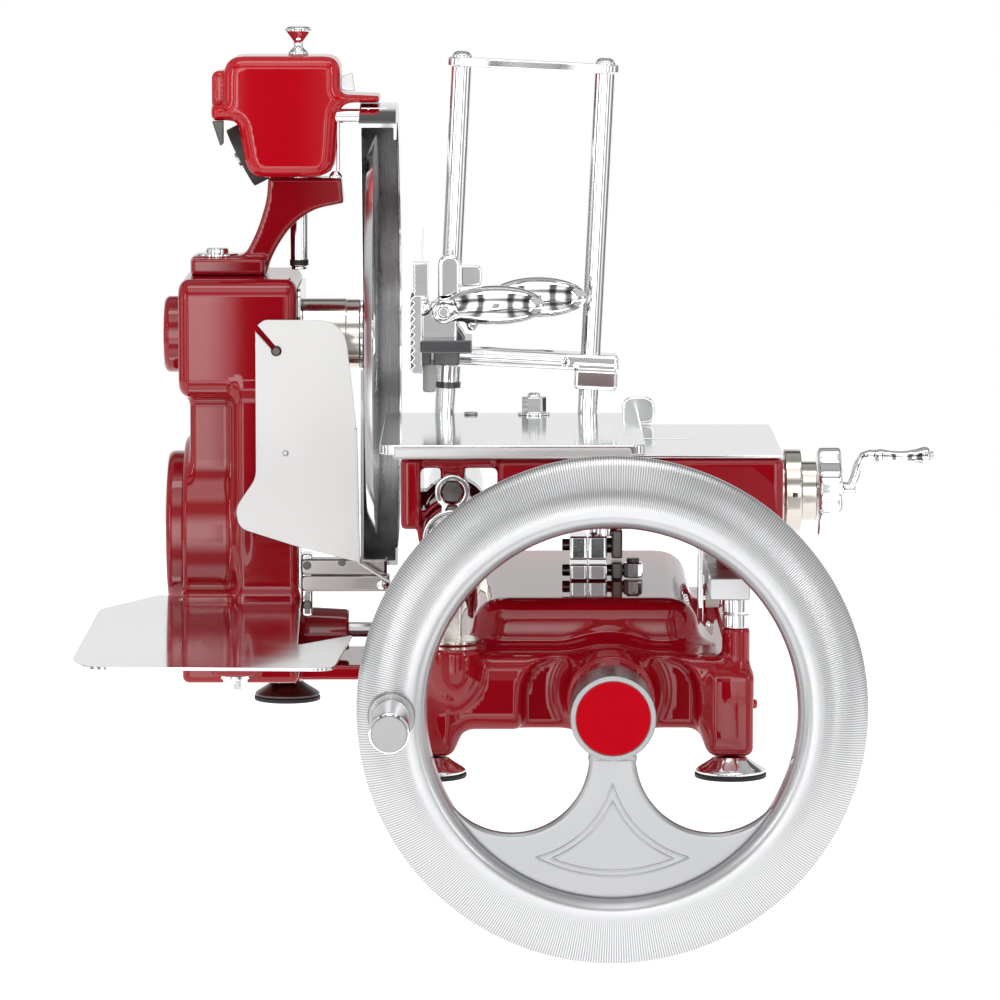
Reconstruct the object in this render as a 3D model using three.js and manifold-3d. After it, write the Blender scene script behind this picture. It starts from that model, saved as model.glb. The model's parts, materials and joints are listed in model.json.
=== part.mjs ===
// Hand crank meat slicer, in millimetres, +Z up. The origin is the middle of the four feet, on their
// undersides.
// +Y runs away from the flywheel side, and +X runs from the blade to the feed crank.
import * as THREE from 'three';
import { mergeVertices } from 'three/addons/utils/BufferGeometryUtils.js';
import Module from 'manifold-3d';

const wasm = await Module();
wasm.setup();

// Fits and counts that all pieces share; a bore has enough sides to clear its shaft's corners at any angle
const gap = 0.3;
const overrun = 2;
const hexSides = 6;
const smallSides = 8;
const midSides = 12;
const largeSides = 20;
const hugeSides = 36;
const cornerSteps = 3;
const ringSteps = 12;
const bevelSteps = 2;

// Finishes: colour, roughness, metalness
const finishes = {
  redPaint: [0x8f0f18, 0.18, 0.1],
  brightRed: [0xb80a14, 0.16, 0.1],
  chrome: [0xdfe1e4, 0.08, 1],
  nickel: [0xc3bdb2, 0.32, 1],
  steel: [0x9b9da1, 0.35, 1],
  silver: [0xc9ccd0, 0.38, 0.9],
  sheet: [0xd2d4d6, 0.16, 1],
  blade: [0xd6d8db, 0.12, 1],
  nylon: [0xf1f0ec, 0.5, 0],
  stone: [0x565654, 0.9, 0],
  darkSteel: [0x3d3c3c, 0.45, 0.8],
};

// Axes that several pieces turn about
const driveAxis = { x: 52.4, z: 64 };
const bladeAxis = { y: 150, z: 304 };

const feet = {
  radius: 27, height: 16,
  frontY: -197, backY: 197, leftX: -82, rightX: 143, columnX: -204,
};

const base = {
  left: -100, right: 161, front: -205, back: 225, underside: 35, top: 96, wall: 8,
  shoulder: 26, lean: 8, edge: 8, cornerRadius: 22, legWidth: 36, legFlare: 18, legDepth: 54,
};
const hump = {
  left: -46, right: 116, front: -134, back: 198, top: 125, slope: 10, cornerRadius: 24, edge: 9, sink: 20,
};
const shaftBoss = {
  radius: 33, front: -240, pocketHalfWidth: 64, pocketTop: 88, pocketDepth: 14, pocketCorner: 36,
};
const bridge = { top: 43, bottom: 31, front: 92, back: 206 };
const bowl = { topZ: 98, radius: 24, height: 46 };

const mainBar = { x: -66, z: 178, radius: 22, front: -186, back: 208, chamfer: 3 };
const mainPost = { width: 14, frontY: -172, backY: 198, flangeRadius: 22, flangeHeight: 3 };
const sideBar = { left: 127, right: 157, bottom: 134.3, top: 150, front: -201, back: 206 };
const sidePost = {
  x: 147, frontY: -189, backY: 194, radius: 10.5, redTop: 112, grooveDepth: 0.8, grooveHeight: 1.2,
};

const wheel = {
  rimRadius: 188, rimBand: 52, rimBack: -286, rimDepth: 28, webFront: -306, webBack: -296,
  hubRadius: 31.3, hubFront: -329, hubBack: -275, holeLand: 5.4, holeZ: -31.9, neck: 17.2,
  shaftSocket: -302, hubChamfer: 0.5,
};
const inlay = { radius: 27.3, thickness: 2.4, proud: 0.4 };
const collar = { radius: 31, front: -274.7 };
const mainShaft = { radius: 10 };
const handle = {
  rimMargin: 26.4, flangeRadius: 17.5, flangeFront: -321, pocketFloor: -300, pinRadius: 6,
  gripRadius: 15, gripWaist: 13.4, gripChamfer: 3, gripEnd: -400, headRadius: 13.4, headThickness: 3,
};

const crossShaft = { radius: 6 };

// Bevel pair that turns the drive through a right angle
const bevel = {
  module: 2.475, wheelTeeth: 24, pinionTeeth: 8, innerShare: 0.7, hubRadius: 16, hubLength: 14,
  socketDepth: 12,
};
// Spur train that climbs the column, all on one upright line
const train = {
  module: 3.75, firstTeeth: 12, largeTeeth: 32, smallTeeth: 20, bladeTeeth: 12, left: -268, width: 12,
};
const journal = { radius: 7.7, left: -279, right: -240 };

const column = {
  left: -285, right: -191, front: 73, back: 227, bottom: 31, footTop: 104, footEdge: 6,
  neckLeft: -277, neckFront: 94, neckBack: 206, backboneLeft: -240, headBottom: 259, headTop: 353,
  headFront: 72, headBack: 228, headCorner: 16, headEdge: 6, drumRadius: 74, drumRight: -232, drumLeft: -283,
  cavityLeft: -273, cavityRight: -250, cavityRoom: 5, drumOpening: 54, headOpening: 24,
  bossEnd: -152, bossRootRadius: 20, bossTipRadius: 16.5,
};
const roundCover = { radius: 63, thickness: 16 };
const endCap = { radius: 30.7, thickness: 14, step: 3, faceRadius: 22 };
const facePlate = { front: 84, back: 216, bottom: 92, top: 345, thickness: 2.6, corner: 10 };

const spindle = { radius: 29, end: -142.3, seam: -153, seamDepth: 0.7, boreGap: 3 };
const blade = {
  radius: 160, edgeX: -129.6, plateLeft: -136.4, plateRight: -133.6, hubLeft: -139.2, hubRadius: 24,
  bevelRadius: 146, grooveRadius: 112,
};
const bladeShaft = { radius: 10, left: -281, right: -130.6 };
const bladeNut = { radius: 17, left: -133.3, right: -130.2 };
const guard = {
  outer: 186, inner: 182.6, left: -142, right: -112, plateThickness: 2.4, plateHole: 14, startDeg: -98,
  endDeg: 112,
  lipInner: 172, lipThickness: 2,
};

const neckBlock = { left: -276.7, right: -218, bottomZ: 353.3, topZ: 366.5, front: 122, back: 178, edge: 4 };
const arm = { front: 132, back: 168, left: -234.9, right: -155.2, low: 346 };
const armCap = { x: -257, radius: 17, height: 3, nutRadius: 9, nutHeight: 4 };
const hood = {
  left: -250, right: -157, top: 528, bottom: 430.7, front: 112, back: 188, wall: 4, edge: 8,
  flangeZ: 490.8, flangeTop: 498, flangeRight: -126, flangeLeft: -260, shelfZ: 476, lowerLeft: -232,
  lowerRight: -162,
};
const post = { x: -191.4, radius: 7, bottom: 356, tipHeight: 4 };
const knob = { radius: 10.8, height: 22.4 };
const stone = {
  x: -232.2, z: 448.5, radius: 25, width: 13, tiltDeg: 27, pinRadius: 3, pinHead: 3, pinReach: 8,
  shoulderRadius: 6,
};

const carriage = {
  left: -32, right: 184, front: -150, back: 80, bottom: 181, top: 235, wall: 8, roof: 6,
  wingLeft: -105, wingWall: 15, webBottom: 227, webBack: 60, edge: 3,
  sleeveRadius: 30, sleeveHalfWidth: 24, sleeveFront: -140, sleeveLength: 35, rearSleeveY: -12,
  rearSleeveLength: 30,
  ribHalfWidth: 18, ribHeight: 9, shoeLeft: 137, shoeRight: 157, shoeFront: -60, shoeBack: 40,
};
const coverPlate = { thickness: 2.7 };
const linkBlock = {
  left: 24, right: 79, halfWidth: 18, upperBottom: 142, upperTop: 160, stemRadius: 11, stemX: 51,
  lowerTop: 137, boltRadius: 5, boltLength: 6, lift: 0.3,
};
const hook = {
  plateLeft: 120, plateRight: 124, front: -145, back: -125, bottom: 106,
  pinRadius: 3, pinEnd: 137.5, shoulderRadius: 5.1,
};
const roller = { left: 126, right: 136, radius: 7 };

const table = {
  left: -121, right: 80, front: -157, back: 91, top: 246, lipBottom: 235, cornerRadius: 10,
  lugLeft: -20, lugRight: -4, lugFront: -42, lugBack: -19, lugBottom: 188, travel: 120, slotRoom: 2,
};
const frameRods = { leftX: -73.8, rightX: 39.6, y: 85, radius: 8, topZ: 519, tiltDeg: 2.8 };
const topBar = { height: 7, depth: 22, endRadius: 11, nutRadius: 8, nutFace: 4.8, nutHeight: 5, nutEdge: 2 };
const tableKnob = {
  x: -3, y: 78, washerRadius: 13, washerHeight: 1.5, radius: 8.4, height: 14, domeRadius: 5, domeHeight: 3,
};

const press = {
  height: 13, bottomAbove: 38, front: 70, back: 100, leftReach: 24, rightReach: 22, endLength: 34,
  endDrop: 15,
  collarRadius: 11, collarDrop: 20, edge: 2,
};
const gripper = {
  left: -97, thickness: 6, front: 8, back: press.front - gap, bottom: 285, top: 346, toothDepth: 3, teeth: 10,
  armRight: -52, armHeight: 10, pressTop: 301, pinRadius: 4, earRight: -64, earFront: 24, earBack: 46,
  pivotX: -74, pivotZ: 333, pivotRadius: 9,
};
const lever = {
  hubRadius: 13, nearX: -34, nearY: 14, nearZ: 332, nearLength: 40, nearWidth: 15, nearHeight: 11,
  tieX: -50, tieRadius: 6, farX: 4, farY: 56, farZ: 337, farLength: 40, farWidth: 15, farHeight: 9,
  webShare: 0.7,
};

const feed = {
  y: -30, z: 197, neckRadius: 25, neckEnd: 190, collarRadius: 32.5, collarEnd: 203,
  ringRadius: 23.2, ringEnd: 215, screwRadius: 6, screwLeft: -22, screwRight: 230,
  wheelStart: 215.8, wheelEnd: 234, wheelRadius: 35.2, lobes: 7, lobeDepth: 4.5, lobeSteps: 6,
  nubRadius: 7, nubEnd: 246, throwHeight: 26, armRadius: 5, elbowRadius: 6.5, pinRadius: 3, pinEnd: 304,
  gripStart: 256, gripRootRadius: 7, gripWaistRadius: 5, gripBulbRadius: 8.7, gripRoom: 4,
  headRadius: 5, headLength: 2,
};

const deflector = {
  left: -240.1, right: -141, bottom: 128.5, top: 322, front: 69.4, thickness: 1.6,
  lipRight: -117, lipBottom: 113, lipDepth: 6,
  x: -207, z: 297.3, holeRadius: 4, slotHalfWidth: 2, slotRise: 24, pinRadius: 3.2, pinProud: 4,
};
const tray = {
  left: -346, right: -142, front: -308, back: 108, backLean: 10, top: 98, thickness: 2.4, sideGap: 3,
  drumGap: 0.6,
};
const trayLedge = { halfWidth: 16, front: 38, bottom: 41.4, height: 8 };
const trayStud = {
  x: -240, y: 54, radius: 4, washerRadius: 12, washerHeight: 3, nutRadius: 8.5, nutHeight: 9,
};

const group = new THREE.Group();

// Solids: making, placing, joining and cutting

function closed(geometry) {
  const bare = geometry.index ? geometry.clone() : geometry;
  bare.deleteAttribute('normal');
  bare.deleteAttribute('uv');
  const merged = mergeVertices(bare);
  const index = merged.index.array;
  const kept = [];
  let volume = 0;
  const a = new THREE.Vector3();
  const b = new THREE.Vector3();
  const c = new THREE.Vector3();
  const position = merged.attributes.position;
  for (let i = 0; i < index.length; i += 3) {
    const [p, q, r] = [index[i], index[i + 1], index[i + 2]];
    if (p === q || q === r || r === p) continue;
    kept.push(p, q, r);
    a.fromBufferAttribute(position, p);
    b.fromBufferAttribute(position, q);
    c.fromBufferAttribute(position, r);
    volume += a.dot(b.cross(c));
  }
  if (volume < 0) kept.reverse();
  merged.setIndex(kept);
  return merged;
}

function solid(geometry) {
  const merged = closed(geometry);
  return new wasm.Manifold(new wasm.Mesh({
    numProp: 3,
    vertProperties: new Float32Array(merged.attributes.position.array),
    triVerts: new Uint32Array(merged.index.array),
  }));
}

function surface(manifold) {
  const mesh = manifold.getMesh();
  const geometry = new THREE.BufferGeometry();
  geometry.setAttribute('position', new THREE.BufferAttribute(mesh.vertProperties.slice(), 3));
  geometry.setIndex(new THREE.BufferAttribute(mesh.triVerts.slice(), 1));
  return geometry;
}

const join = (first, ...others) => others.reduce((whole, piece) => whole.add(piece), first);
const cut = (first, ...others) => others.reduce((whole, piece) => whole.subtract(piece), first);

function place(name, finish, manifold) {
  const [color, roughness, metalness] = finishes[finish];
  const geometry = surface(manifold);
  geometry.computeVertexNormals();
  const mesh = new THREE.Mesh(geometry, new THREE.MeshStandardMaterial({ color, roughness, metalness }));
  mesh.name = name;
  group.add(mesh);
  return mesh;
}

function box(x0, x1, y0, y1, z0, z1) {
  const geometry = new THREE.BoxGeometry(x1 - x0, y1 - y0, z1 - z0);
  geometry.translate((x0 + x1) / 2, (y0 + y1) / 2, (z0 + z1) / 2);
  return solid(geometry);
}

// Frames in which a shape's own X, Y and depth point along the model's axes
const alongX = new THREE.Vector3(1, 0, 0);
const alongY = new THREE.Vector3(0, 1, 0);
const alongZ = new THREE.Vector3(0, 0, 1);
const backwards = (direction) => direction.clone().negate();
const basis = (...directions) => new THREE.Matrix4().makeBasis(...directions);
const frames = {
  x: basis(alongY, alongZ, alongX),
  y: basis(alongX, alongZ, backwards(alongY)),
  z: new THREE.Matrix4(),
};

// A shape drawn across one axis and carried along it from low to high, with an optional rounded edge
function prism(axis, shape, low, high, edge = 0, curveSegments = cornerSteps) {
  const options = { depth: high - low - 2 * edge, curveSegments, bevelEnabled: edge > 0 };
  if (edge > 0) {
    options.bevelThickness = edge;
    options.bevelSize = edge;
    options.bevelOffset = -edge;
    options.bevelSegments = bevelSteps;
  }
  const geometry = new THREE.ExtrudeGeometry(shape, options);
  geometry.translate(0, 0, axis === 'y' ? -high + edge : low + edge);
  geometry.applyMatrix4(frames[axis]);
  return solid(geometry);
}

// A turned piece: its profile lists radius and place along the axis, and starts and ends on the axis
function turned(axis, profile, u, v, sides = midSides) {
  const points = profile.map(([radius, along]) => new THREE.Vector2(radius, along));
  if (points[0].x !== 0) points.unshift(new THREE.Vector2(0, points[0].y));
  if (points.at(-1).x !== 0) points.push(new THREE.Vector2(0, points.at(-1).y));
  const geometry = new THREE.LatheGeometry(points, sides);
  if (axis === 'x') geometry.rotateZ(-Math.PI / 2).translate(0, u, v);
  if (axis === 'y') geometry.translate(u, 0, v);
  if (axis === 'z') geometry.rotateX(Math.PI / 2).translate(u, v, 0);
  return solid(geometry);
}

const disc = (axis, radius, low, high, u, v, sides = midSides) =>
  turned(axis, [[radius, low], [radius, high]], u, v, sides);

function rod(from, to, radius, sides = midSides) {
  const along = new THREE.Vector3().subVectors(to, from);
  const geometry = new THREE.CylinderGeometry(radius, radius, along.length(), sides);
  const turn = new THREE.Quaternion().setFromUnitVectors(alongY, along.clone().normalize());
  geometry.applyQuaternion(turn);
  geometry.translate((from.x + to.x) / 2, (from.y + to.y) / 2, (from.z + to.z) / 2);
  return solid(geometry);
}

function egg(x, y, z, halfX, halfY, halfZ) {
  const geometry = new THREE.SphereGeometry(1, midSides, smallSides);
  geometry.scale(halfX, halfY, halfZ).translate(x, y, z);
  return solid(geometry);
}

// A closed outline through the points, with each corner rounded by its own radius
function rounded(points, radii) {
  const shape = new THREE.Shape();
  const count = points.length;
  points.forEach(([x, y], i) => {
    const corner = new THREE.Vector2(x, y);
    const radius = Array.isArray(radii) ? radii[i] : radii;
    const before = new THREE.Vector2(...points[(i + count - 1) % count]).sub(corner);
    const after = new THREE.Vector2(...points[(i + 1) % count]).sub(corner);
    const reach = Math.min(radius, before.length() / 2, after.length() / 2);
    const entry = corner.clone().addScaledVector(before.normalize(), reach);
    const exit = corner.clone().addScaledVector(after.normalize(), reach);
    if (i === 0) shape.moveTo(entry.x, entry.y);
    else shape.lineTo(entry.x, entry.y);
    if (reach > 0) shape.quadraticCurveTo(x, y, exit.x, exit.y);
  });
  shape.closePath();
  return shape;
}

const rectangle = (x0, x1, y0, y1, radius) => rounded([[x0, y0], [x1, y0], [x1, y1], [x0, y1]], radius);

// Part of a ring, from one angle to another
function ringSector(inner, outer, startDeg, endDeg, cx, cy) {
  const start = THREE.MathUtils.degToRad(startDeg);
  const end = THREE.MathUtils.degToRad(endDeg);
  const shape = new THREE.Shape();
  shape.absarc(cx, cy, outer, start, end, false);
  shape.absarc(cx, cy, inner, end, start, true);
  shape.closePath();
  return shape;
}

// Gear teeth: straight-sided teeth that leave backlash in the mesh
const tooth = { addendumShare: 0.9, dedendumShare: 1.2, rootShare: 0.6, pitchShare: 0.43, tipShare: 0.2 };

function toothRing(teeth, module, phase) {
  const pitch = 2 * Math.PI / teeth;
  const pitchRadius = teeth * module / 2;
  const points = [];
  for (let i = 0; i < teeth; i += 1) {
    const middle = phase + i * pitch;
    const steps = [
      [-tooth.rootShare / 2, -tooth.dedendumShare], [-tooth.tipShare / 2, tooth.addendumShare],
      [tooth.tipShare / 2, tooth.addendumShare], [tooth.rootShare / 2, -tooth.dedendumShare],
    ];
    steps.forEach(([across, high]) => points.push({
      angle: middle + across * pitch, pitchRadius, high: high * module,
    }));
  }
  return points;
}

function spurShape(teeth, module, phase, y, z) {
  const points = toothRing(teeth, module, phase).map(({ angle, pitchRadius, high }) => new THREE.Vector2(
    y + (pitchRadius + high) * Math.cos(angle), z + (pitchRadius + high) * Math.sin(angle)));
  return new THREE.Shape(points);
}

// A straight bevel gear whose teeth all point at the apex, at the origin; its axis is +Z and it lies at +Z
function bevelTeeth(teeth, mateTeeth, module, phase) {
  const cone = Math.atan2(teeth, mateTeeth);
  const away = mateTeeth * module / 2;
  const outline = toothRing(teeth, module, phase).map(({ angle, pitchRadius, high }) => {
    const radius = pitchRadius + high * Math.cos(cone);
    return [radius * Math.cos(angle), radius * Math.sin(angle), away - high * Math.sin(cone)];
  });
  const count = outline.length;
  const positions = [];
  const share = bevel.innerShare;
  outline.forEach((p) => positions.push(...p));
  outline.forEach((p) => positions.push(...p.map((value) => value * share)));
  positions.push(0, 0, away, 0, 0, away * share);
  const index = [];
  for (let i = 0; i < count; i += 1) {
    const next = (i + 1) % count;
    index.push(i, count + next, count + i, i, next, count + next);
    index.push(2 * count, next, i);
    index.push(2 * count + 1, count + i, count + next);
  }
  const geometry = new THREE.BufferGeometry();
  geometry.setAttribute('position', new THREE.Float32BufferAttribute(positions, 3));
  geometry.setIndex(index);
  return geometry;
}

// Levelling feet: a chrome cup over a rubber pad, under each corner
// Profile shares: of the radius, and of the height
const footProfileShares = [[1, 0], [1, 0.32], [0.9, 0.45], [0.62, 0.81], [0.44, 1]];

function makeFoot(name, x, y) {
  const high = feet.height - gap;
  const profile = footProfileShares.map(([wide, up]) => [wide * feet.radius, up * high]);
  place(name, 'chrome', turned('z', profile, x, y));
}

function makeFeet() {
  makeFoot('foot_front_left', feet.leftX, feet.frontY);
  makeFoot('foot_front_right', feet.rightX, feet.frontY);
  makeFoot('foot_back_right', feet.rightX, feet.backY);
  makeFoot('foot_column', feet.columnX, feet.backY);
}

// Base casting: a hollow body open below, on legs, with the hump that covers the bevel gears
function baseFrontView() {
  const { left, right, underside, top, shoulder, lean, legWidth, legFlare } = base;
  const legBottom = feet.height;
  return rounded([
    [left, legBottom], [left + legWidth, legBottom], [left + legWidth + legFlare / 3, underside],
    [right - legWidth - legFlare / 3, underside], [right - legWidth, legBottom], [right, legBottom],
    [right - lean, top], [left + lean, top],
  ], [0, 0, legFlare, legFlare, 0, 0, shoulder, shoulder]);
}

function baseSideView() {
  const { front, back, underside, top, legDepth, legFlare, edge } = base;
  const legBottom = feet.height;
  return rounded([
    [front, legBottom], [front + legDepth, legBottom], [front + legDepth + legFlare / 3, underside],
    [back - legDepth - legFlare / 3, underside], [back - legDepth, legBottom], [back, legBottom],
    [back, top], [front, top],
  ], [0, 0, legFlare, legFlare, 0, 0, 2 * edge, 2 * edge]);
}

// The bowl under the front post: shares of its radius, and of its height
const bowlProfileShares = [[0.3, 0], [0.75, 0.25], [0.97, 0.6], [1, 1]];

function makeBase() {
  const { left, right, front, back, underside, top, wall, cornerRadius } = base;
  const plan = prism('z', rectangle(left, right, front, back, cornerRadius), feet.height, top + overrun);
  const body = prism('y', baseFrontView(), front - overrun, back + overrun)
    .intersect(prism('x', baseSideView(), left - overrun, right + overrun)).intersect(plan);
  const humpSolid = prism('z', rectangle(hump.left, hump.right, hump.front, hump.back, hump.cornerRadius),
    top - hump.sink, hump.top, hump.edge);
  const boss = disc('y', shaftBoss.radius, shaftBoss.front, hump.front + hump.cornerRadius, driveAxis.x,
    driveAxis.z,
    largeSides);
  const pocket = prism('y', rounded([
    [driveAxis.x - shaftBoss.pocketHalfWidth, underside - overrun],
    [driveAxis.x + shaftBoss.pocketHalfWidth, underside - overrun],
    [driveAxis.x + shaftBoss.pocketHalfWidth, shaftBoss.pocketTop],
    [driveAxis.x - shaftBoss.pocketHalfWidth, shaftBoss.pocketTop],
  ], [0, 0, shaftBoss.pocketCorner, shaftBoss.pocketCorner]), front - overrun, front + shaftBoss.pocketDepth);
  const bowlSolid = turned('z', bowlProfileShares.map(([wide, up]) =>
    [wide * bowl.radius, bowl.topZ - bowl.height + up * bowl.height]), mainBar.x,
      mainPost.frontY - bowl.radius, largeSides);
  const bowlBody = join(bowlSolid, box(mainBar.x - bowl.radius, mainBar.x + bowl.radius,
    mainPost.frontY - bowl.radius,
    mainPost.frontY + bowl.radius, bowl.topZ - wall, bowl.topZ));
  const hollowFront = front + shaftBoss.pocketDepth + wall;
  const hollow = box(left + wall + base.lean, right - wall - base.lean, hollowFront, back - wall,
    feet.height - overrun,
    top - wall);
  const humpHollow = box(hump.left + hump.slope + wall, hump.right - hump.slope - wall,
    hump.front + wall + hump.slope,
    hump.back - wall - hump.slope, top - hump.sink, hump.top - wall);
  const legs = [[feet.leftX, feet.frontY], [feet.rightX, feet.frontY],
    [feet.rightX, feet.backY]].map(([x, y]) =>
    box(x - base.legWidth / 2, x + base.legWidth / 2, Math.max(y - base.legWidth / 2, front + overrun),
      Math.min(y + base.legWidth / 2, back - overrun), feet.height, top - wall));
  const bridgeArm = box(column.right + gap, left + wall + base.lean + overrun, bridge.front, bridge.back,
    bridge.bottom, bridge.top);
  const bosses = [sidePost.frontY, sidePost.backY].map((y) =>
    disc('z', sidePost.radius, top - 2 * base.shoulder, sidePost.redTop, sidePost.x, y));
  const rearPad = box(mainBar.x - mainPost.width, mainBar.x + mainPost.width, mainPost.backY - mainPost.width,
    mainPost.backY + mainPost.width, top - wall, top + wall / 2);
  const shell = join(cut(join(body, humpSolid), pocket), boss, bowlBody, ...bosses, rearPad);
  const shellHollow = cut(join(hollow, humpHollow), boss, ...legs);
  const bores = [
    disc('y', mainShaft.radius + gap, shaftBoss.front - overrun, hump.back, driveAxis.x, driveAxis.z,
      largeSides),
    disc('x', crossShaft.radius + gap, column.right, left + 2 * wall + base.lean + overrun, bladeAxis.y,
      driveAxis.z),
  ];
  place('base_casting', 'redPaint', cut(join(cut(shell, shellHollow), bridgeArm), ...bores));
}

// Guide bars on the base that the carriage runs on
function makeGuideBars() {
  const { x, z, radius, front, back, chamfer } = mainBar;
  place('main_guide_bar', 'chrome', turned('y', [
    [radius - chamfer, front], [radius, front + chamfer], [radius, back - chamfer], [radius - chamfer, back],
  ], x, z, largeSides));
  const postTop = z - radius - gap;
  const half = mainPost.width / 2;
  const frontBottom = bowl.topZ + gap;
  place('main_post_front', 'nickel', join(
    box(x - half, x + half, mainPost.frontY - half, mainPost.frontY + half, frontBottom, postTop),
    disc('z', mainPost.flangeRadius, frontBottom, frontBottom + mainPost.flangeHeight, x, mainPost.frontY,
      largeSides)));
  place('main_post_back', 'nickel', box(x - half, x + half, mainPost.backY - half, mainPost.backY + half,
    base.top + base.wall / 2 + gap, postTop));
  place('side_guide_bar', 'steel', box(sideBar.left, sideBar.right, sideBar.front, sideBar.back,
    sideBar.bottom,
    sideBar.top));
  const low = sidePost.redTop + gap;
  const high = sideBar.bottom - gap;
  const middle = (low + high) / 2;
  const { grooveDepth, grooveHeight, radius: postRadius } = sidePost;
  const profile = [[postRadius, low], [postRadius, middle - grooveHeight], [postRadius - grooveDepth, middle],
    [postRadius, middle + grooveHeight], [postRadius, high]];
  place('side_post_front', 'chrome', turned('z', profile, sidePost.x, sidePost.frontY));
  place('side_post_back', 'chrome', turned('z', profile, sidePost.x, sidePost.backY));
}

// Flywheel: a convex band, a web with two round openings, and a long hub
const rimProfileShares = [[0, 1], [0, 0.7], [0.25, 0.3], [0.55, 0.05], [0.8, 0], [0.95, 0.2], [1, 0.45],
  [1, 1]];

function makeFlywheel() {
  const w = wheel;
  const rimInner = w.rimRadius - w.rimBand;
  const front = w.rimBack - w.rimDepth;
  const ring = rimProfileShares.map(([across, deep]) => [w.rimRadius - across * w.rimBand,
    front + deep * w.rimDepth]);
  const rim = cut(turned('y', ring.slice().reverse(), driveAxis.x, driveAxis.z, hugeSides),
    disc('y', rimInner, front - overrun, w.rimBack + overrun, driveAxis.x, driveAxis.z, hugeSides));
  const holeZ = driveAxis.z + w.holeZ;
  const holeRadius = (rimInner - w.neck - w.holeLand) / 2;
  const holeX = w.neck + holeRadius;
  const holes = [-1, 1].map((side) => disc('y', holeRadius, w.webFront - overrun, w.webBack + overrun,
    driveAxis.x + side * holeX, holeZ, largeSides));
  const lowerHalf = box(driveAxis.x - w.rimRadius, driveAxis.x + w.rimRadius, w.webFront, w.webBack,
    driveAxis.z - w.rimRadius, holeZ);
  const webDisc = disc('y', rimInner + overrun, w.webFront, w.webBack, driveAxis.x, driveAxis.z, hugeSides);
  const neck = box(driveAxis.x - w.neck, driveAxis.x + w.neck, w.webFront, w.webBack, holeZ, driveAxis.z);
  const web = join(cut(webDisc.intersect(lowerHalf), ...holes), neck);
  const inlayPocket = inlay.radius + gap;
  const hub = turned('y', [
    [inlayPocket, w.hubFront + inlay.thickness], [inlayPocket, w.hubFront],
    [w.hubRadius - w.hubChamfer, w.hubFront],
    [w.hubRadius, w.hubFront + inlay.thickness], [w.hubRadius, w.hubBack],
  ], driveAxis.x, driveAxis.z, largeSides);
  const socket = disc('y', mainShaft.radius + gap, w.shaftSocket, w.hubBack + overrun, driveAxis.x,
    driveAxis.z);
  const seat = disc('y', handle.flangeRadius + gap, front - overrun, handle.pocketFloor,
    handleX(),
    driveAxis.z, largeSides);
  place('flywheel', 'silver', cut(join(rim, web, hub), socket, seat));
  place('hub_inlay', 'brightRed', disc('y', inlay.radius, w.hubFront + inlay.proud,
    w.hubFront + inlay.thickness - gap,
    driveAxis.x, driveAxis.z, largeSides));
}

function handleX() {
  return driveAxis.x - wheel.rimRadius + handle.rimMargin;
}

function makeHandle() {
  const x = handleX();
  const h = handle;
  place('handle_pin', 'chrome', turned('y', [
    [h.headRadius - gap, h.gripEnd - gap - h.headThickness], [h.headRadius, h.gripEnd - 2 * gap],
    [h.headRadius, h.gripEnd - gap], [h.pinRadius, h.gripEnd - gap], [h.pinRadius, h.flangeFront],
    [h.flangeRadius, h.flangeFront], [h.flangeRadius, h.pocketFloor - gap],
  ], x, driveAxis.z, largeSides));
  const grip = turned('y', [
    [h.gripWaist, h.gripEnd], [h.gripRadius, h.gripEnd + h.gripChamfer],
    [h.gripRadius, h.flangeFront - h.gripChamfer],
    [h.gripWaist, h.flangeFront - gap],
  ], x, driveAxis.z, largeSides);
  place('handle_grip', 'chrome', cut(grip,
    disc('y', h.pinRadius + gap, h.gripEnd - overrun, h.flangeFront + overrun, x, driveAxis.z)));
}

// Drive inside the base: main shaft, bevel pair and the cross shaft to the column
function makeDrive() {
  place('front_bearing_collar', 'chrome', cut(
    disc('y', collar.radius, collar.front, shaftBoss.front - gap, driveAxis.x, driveAxis.z, largeSides),
    disc('y', mainShaft.radius + gap, collar.front - overrun, shaftBoss.front, driveAxis.x, driveAxis.z,
      largeSides)));
  const { module, wheelTeeth, pinionTeeth } = bevel;
  const pinionRadius = pinionTeeth * module / 2;
  const wheelRadius = wheelTeeth * module / 2;
  const wheelGear = bevelTeeth(wheelTeeth, pinionTeeth, module, Math.PI)
    .applyMatrix4(frames.y)
    .translate(driveAxis.x, bladeAxis.y, driveAxis.z);
  const gearBack = bladeAxis.y - pinionRadius;
  const hubFront = gearBack - bevel.hubLength;
  place('main_bevel_gear', 'steel', join(solid(wheelGear), cut(
    disc('y', bevel.hubRadius, hubFront, gearBack + gap, driveAxis.x, driveAxis.z),
    disc('y', mainShaft.radius + gap, hubFront - overrun, hubFront + bevel.socketDepth, driveAxis.x,
      driveAxis.z))));
  place('main_shaft', 'steel', disc('y', mainShaft.radius, wheel.shaftSocket + gap,
    hubFront + bevel.socketDepth - gap,
    driveAxis.x, driveAxis.z));
  const pinionGear = bevelTeeth(pinionTeeth, wheelTeeth, module, Math.PI + Math.PI / pinionTeeth)
    .applyMatrix4(basis(alongY, backwards(alongZ), backwards(alongX)))
    .translate(driveAxis.x, bladeAxis.y, driveAxis.z);
  const shaftRight = driveAxis.x - wheelRadius + gap;
  place('cross_shaft', 'steel', join(solid(pinionGear),
    disc('x', crossShaft.radius, journal.left, shaftRight, bladeAxis.y, driveAxis.z)));
}

// Spur train in the column
const firstRadius = train.firstTeeth * train.module / 2;
const largeRadius = train.largeTeeth * train.module / 2;
const smallRadius = train.smallTeeth * train.module / 2;
const largeZ = driveAxis.z + firstRadius + largeRadius;
const smallZ = largeZ + largeRadius + smallRadius;

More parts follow.
